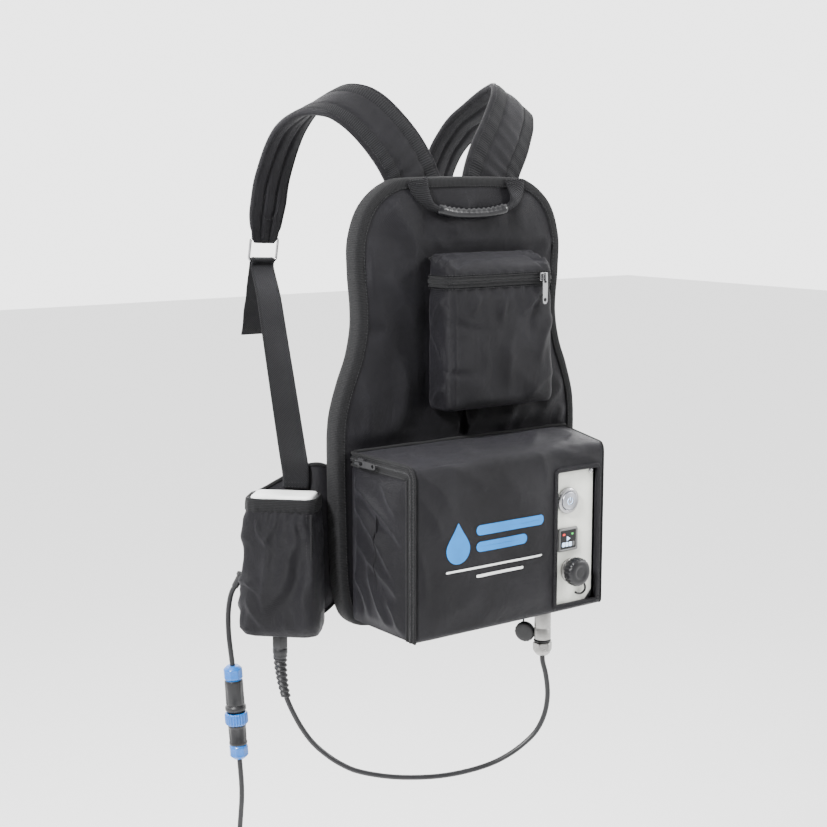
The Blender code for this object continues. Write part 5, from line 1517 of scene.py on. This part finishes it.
def build_outlet():
    at = Vector((0.0460, -0.1150, 0.0))
    socket = [(8, 99), (8, 112.2), (11.2, 112.4), (11.6, 113), (11.6, 114.4), (11.2, 114.9), (8.6, 115),
              (8.4, 115.6), (8.6, 120.5)]
    lathe("outlet_flange", socket, at, -UP, ["satin"], sides=64, replaced=["outlet_socket"])
    body = [(7.8, 120.7), (8.6, 120.9), (8.9, 121.6), (8.9, 140), (8.6, 140.6), (8.6, 141.4), (9, 142),
            (9, 153), (8.6, 154), (8, 154.6), (7.9, 156.8)]
    lathe("outlet_barrel", body, at, -UP, ["satin"], sides=72, replaced=["outlet_plug"])
    seal = [(8, 154.6), (9.1, 154.8), (9.5, 155.4), (9.1, 156.2), (8, 156.6)]
    lathe("outlet_seal", seal, at, -UP, ["rubber"], sides=48)
    nut = [(8.4, 157), (9.6, 157.3, 0.6), (10.4, 158.6, 1.4), (10.4, 165, 1.4), (9.9, 166.4, 0.8),
           (8.4, 169), (6.4, 171.4), (5, 171.9), (3, 171.6)]
    lathe("outlet_hex_nut", nut, at, -UP, ["satin"], sides=72, flats=6, replaced=["outlet_nut"])
    axis = Vector((-0.80, -0.45, -0.10))
    base = Vector((0.0390, -0.0962, -0.1480))
    cap = [(6, 0.2), (9.4, 0.2), (10.6, 0.8), (11.1, 1.8, 0.5), (11.1, 5.6, 0.5), (10.4, 6.6),
           (8.8, 7.1), (5, 7.3)]
    lathe("dust_cover", cap, base, axis, ["rubber"], sides=80, ribs=16, replaced=["outlet_dust_cap"])
    strap = metres([(42.5, -106, -118), (40, -99, -123), (37, -95, -132), (35.2, -96, -142)])
    tube("dust_cover_strap", spline(strap, 6), 0.0010, ["rubber"], sides=8)


# ---------------------------------------------------------------- hip pouch and controller
POUCH_CORNER, POUCH_STEP = 0.0115, 0.0026


def pouch_loop(z):
    """Plan loop of the pouch on its wing, as (along, out), at one of its heights."""
    levels = ((-0.1290, 0.0160, 0.0070, 0.0860, 0.0410), (-0.1220, 0.0105, 0.0030, 0.0930, 0.0465),
              (-0.0550, 0.0115, 0.0030, 0.0885, 0.0465), (0.0160, 0.0125, 0.0030, 0.0840, 0.0440))
    t = 1.0
    for low, high in zip(levels, levels[1:]):
        if z <= high[0]:
            t = (z - low[0]) / (high[0] - low[0])
            break
    a, b, c, d = (p + (q - p) * t for p, q in zip(low[1:], high[1:]))
    return rounded_rectangle((a, b), (c, d), POUCH_CORNER, 7, POUCH_STEP)


def build_pouch():
    rings = []
    count = len(pouch_loop(-0.1205))
    for inset, z in ((0.012, -0.1288), (0.007, -0.1284), (0.0025, -0.1262)):
        low, high = (0.0090 + inset, 0.0035 + inset * 0.5), (0.0915 - inset, 0.0460 - inset)
        loop = rounded_rectangle(low, high, 0.0105, 7, POUCH_STEP)
        rings.append(resampled([on_wing(along, out, z) for along, out in loop], count))
    for z in stations((-0.1205, -0.030, -0.002, 0.0165), 0.0030):
        loop = pouch_loop(z)
        ring = []
        for (along, out), (nu, nv) in zip(loop, outward_normals(loop)):
            lift = pouch_swell(along, out, z) if nv > -0.6 else 0.0
            wave = 0.0012 * smooth_noise((along, out, 0), 60) * step_between(z, 0.0, 0.014)
            ring.append(on_wing(along + nu * lift, max(out + nv * lift, 0.0024), z + wave))
        rings.append(resampled(ring, count))
    loft("pouch_fabric", rings, ["fabric"], caps=(True, False), thickness=0.0012, replaced=["pouch_bag"])

    rings = []
    base = pouch_loop(0.012)
    for shift, z in ((0.0004, 0.0030), (0.0012, 0.0040), (0.0016, 0.0100), (0.0014, 0.0158), (0.0004, 0.0172),
                     (-0.0010, 0.0166), (-0.0012, 0.0110)):
        ring = []
        for i, ((along, out), (nu, nv)) in enumerate(zip(base, outward_normals(base))):
            gather = 0.0010 * sin(i * 2.1 + 3 * smooth_noise((along, out, 0), 40.0))
            lift = shift + gather * step_between(z, 0.0165, 0.005)
            ring.append(on_wing(along + nu * lift, max(out + nv * lift, 0.0022), z))
        rings.append(ring)
    loft("pouch_hem", rings, ["tape"], caps=(False, False), thickness=0.0006)
    heights = stations((-0.116, 0.002), 0.005)
    seam, stitched = ([on_wing(along, out + 0.0005 * smooth_noise((0, 0, z), 50), z) for z in heights]
                      for along, out in ((0.0155, 0.0456), (0.0200, 0.0470)))
    tube("pouch_seam", seam, 0.0014, ["tape"], sides=8)
    stitches("pouch_seam_stitches", stitched, mirrored(WING_OUT, -1))

    box = rounded_rectangle((0.0155, 0.0052), (0.0800, 0.0395), 0.0062, 5, 0.004)
    rings = []
    for inset, z in ((0.0030, -0.1115), (0.0005, -0.1100), (0.0, -0.1080), (0.0, 0.0170), (0.0006, 0.0182),
                     (0.0022, 0.0190), (0.0060, 0.0190)):
        rings.append([on_wing(along, out, z) for along, out in inset_loop(box, inset)])
    loft("controller_case", rings, ["white"], replaced=["controller_box"])
    groove = rounded_rectangle((0.0154, 0.0051), (0.0801, 0.0396), 0.0058, 5, 0.004)
    tube("controller_seam", [on_wing(along, out, 0.0120) for along, out in groove], 0.0005, ["rubber"],
         sides=6, closed=True)
    build_relief()


def resampled(ring, count):
    """The same closed ring with a given number of evenly spaced points."""
    lengths = [0.0]
    for p, q in zip(ring, ring[1:] + ring[:1]):
        lengths.append(lengths[-1] + (q - p).length)
    result = []
    j = 0
    for i in range(count):
        target = lengths[-1] * i / count
        while lengths[j + 1] < target:
            j += 1
        span = lengths[j + 1] - lengths[j]
        t = (target - lengths[j]) / span if span else 0.0
        result.append(ring[j].lerp(ring[(j + 1) % len(ring)], t))
    return result


POUCH_FOLDS = metres([(30, -4, 40, -45, 4, 6.2), (38, -36, 66, -108, 4.8, 9),
                      (60, -24, 62.5, -104, 3.4, 4.4), (23, -40, 43, -86, -3.4, 7),
                      (19, -74, 30, -124, 3.4, 6), (86, -64, 70, -84, 4.2, 3.6),
                      (82, -86, 67, -120, 4.2, 4.2), (93, -92, 82, -78, 3.4, 3.6),
                      (70, -4, 61, -30, 4, 3.4), (53.5, -4, 60, -30, 3.6, 3.2),
                      (46, -2, 44, -28, 3.4, 3.4), (80, -2, 83, -30, 3, 3.4), (22, -2, 20.5, -24, 3, 3),
                      (37, -2, 36, -18, 2.6, 2.6), (50, -100, 35, -122, 3, 5),
                      (76, -30, 80, -60, -2.2, 5)])


def pouch_swell(along, out, z):
    point = (along, out, z)
    middle = step_between(z, -0.127, -0.112) * step_between(z, 0.004, -0.005)
    slant = ridged((along * 1.3 + z * 0.75, out * 1.3, z * 0.30), 19.0, 5.5)
    folds = slant * 0.0012 + ridged(point, 26.0, 7.0) * 0.0010
    folds += creases(along - (0.0465 - out) * 0.6, z, POUCH_FOLDS)
    folds -= 0.0040 * step_between(along, 0.060, 0.078) * step_between(out, 0.036, 0.044)
    folds += 0.0014 * exp(-((along - 0.0165) / 0.0013) ** 2) * step_between(out, 0.030, 0.040)
    gather = sin(2 * pi * (along + out * 0.8) / 0.0085 + 4 * smooth_noise(point, 20.0)) * 0.0010
    gather *= step_between(z, -0.030, -0.004) * step_between(z, 0.012, 0.0)
    return middle * (0.0010 + folds) + gather


def build_relief():
    """Spiral strain relief: hexagonal gland, then a sleeve with a helical groove that leans away."""
    relief = on_wing(0.055, 0.0200, 0)
    angles, turns, steps = circle(40), 8, 96
    rings = []
    # Rows of radius, height and how deep the hexagon's flats cut, in millimetres.
    gland = ((6, -111.8, 0), (6, -130, 0), (7.4, -130.4, 0), (8.4, -131.2, 1), (8.6, -133, 1), (8.6, -144, 1),
             (8, -145.2, 1), (7.4, -146, 0), (7.8, -146.6, 0), (7.8, -151, 0), (7, -153, 0))
    for radius, z, depth in metres(gland):
        ring = []
        for angle in angles:
            size = flatted(radius, depth, angle, 6)
            ring.append(Vector((relief.x + size * cos(angle), relief.y + size * sin(angle), z)))
        rings.append(ring)
    for i in range(steps + 1):
        t = i / steps
        middle = Vector((relief.x + 0.0030 * t * t, relief.y - 0.0050 * t * t, -0.1545 - 0.0430 * t))
        ring = []
        for angle in angles:
            wave = 0.5 + 0.5 * cos(angle - 2 * pi * turns * t)
            size = (0.0075 - 0.0022 * t) - 0.0017 * (1 - wave ** 0.7) * min(1.0, 12 * t, 12 * (1 - t))
            ring.append(middle + Vector((cos(angle), sin(angle), 0)) * size)
        rings.append(ring)
    loft("spiral_relief", rings, ["rubber"], replaced=["pouch_strain_relief"])


build_cords()
build_plate()
for side_name, side_sign in (("left", -1), ("right", 1)):
    build_strap(side_name)
    build_wing(side_name, side_sign)
    build_belt(side_name, side_sign)
build_handle()
build_pocket()
build_case()
build_controls()
build_outlet()
build_pouch()
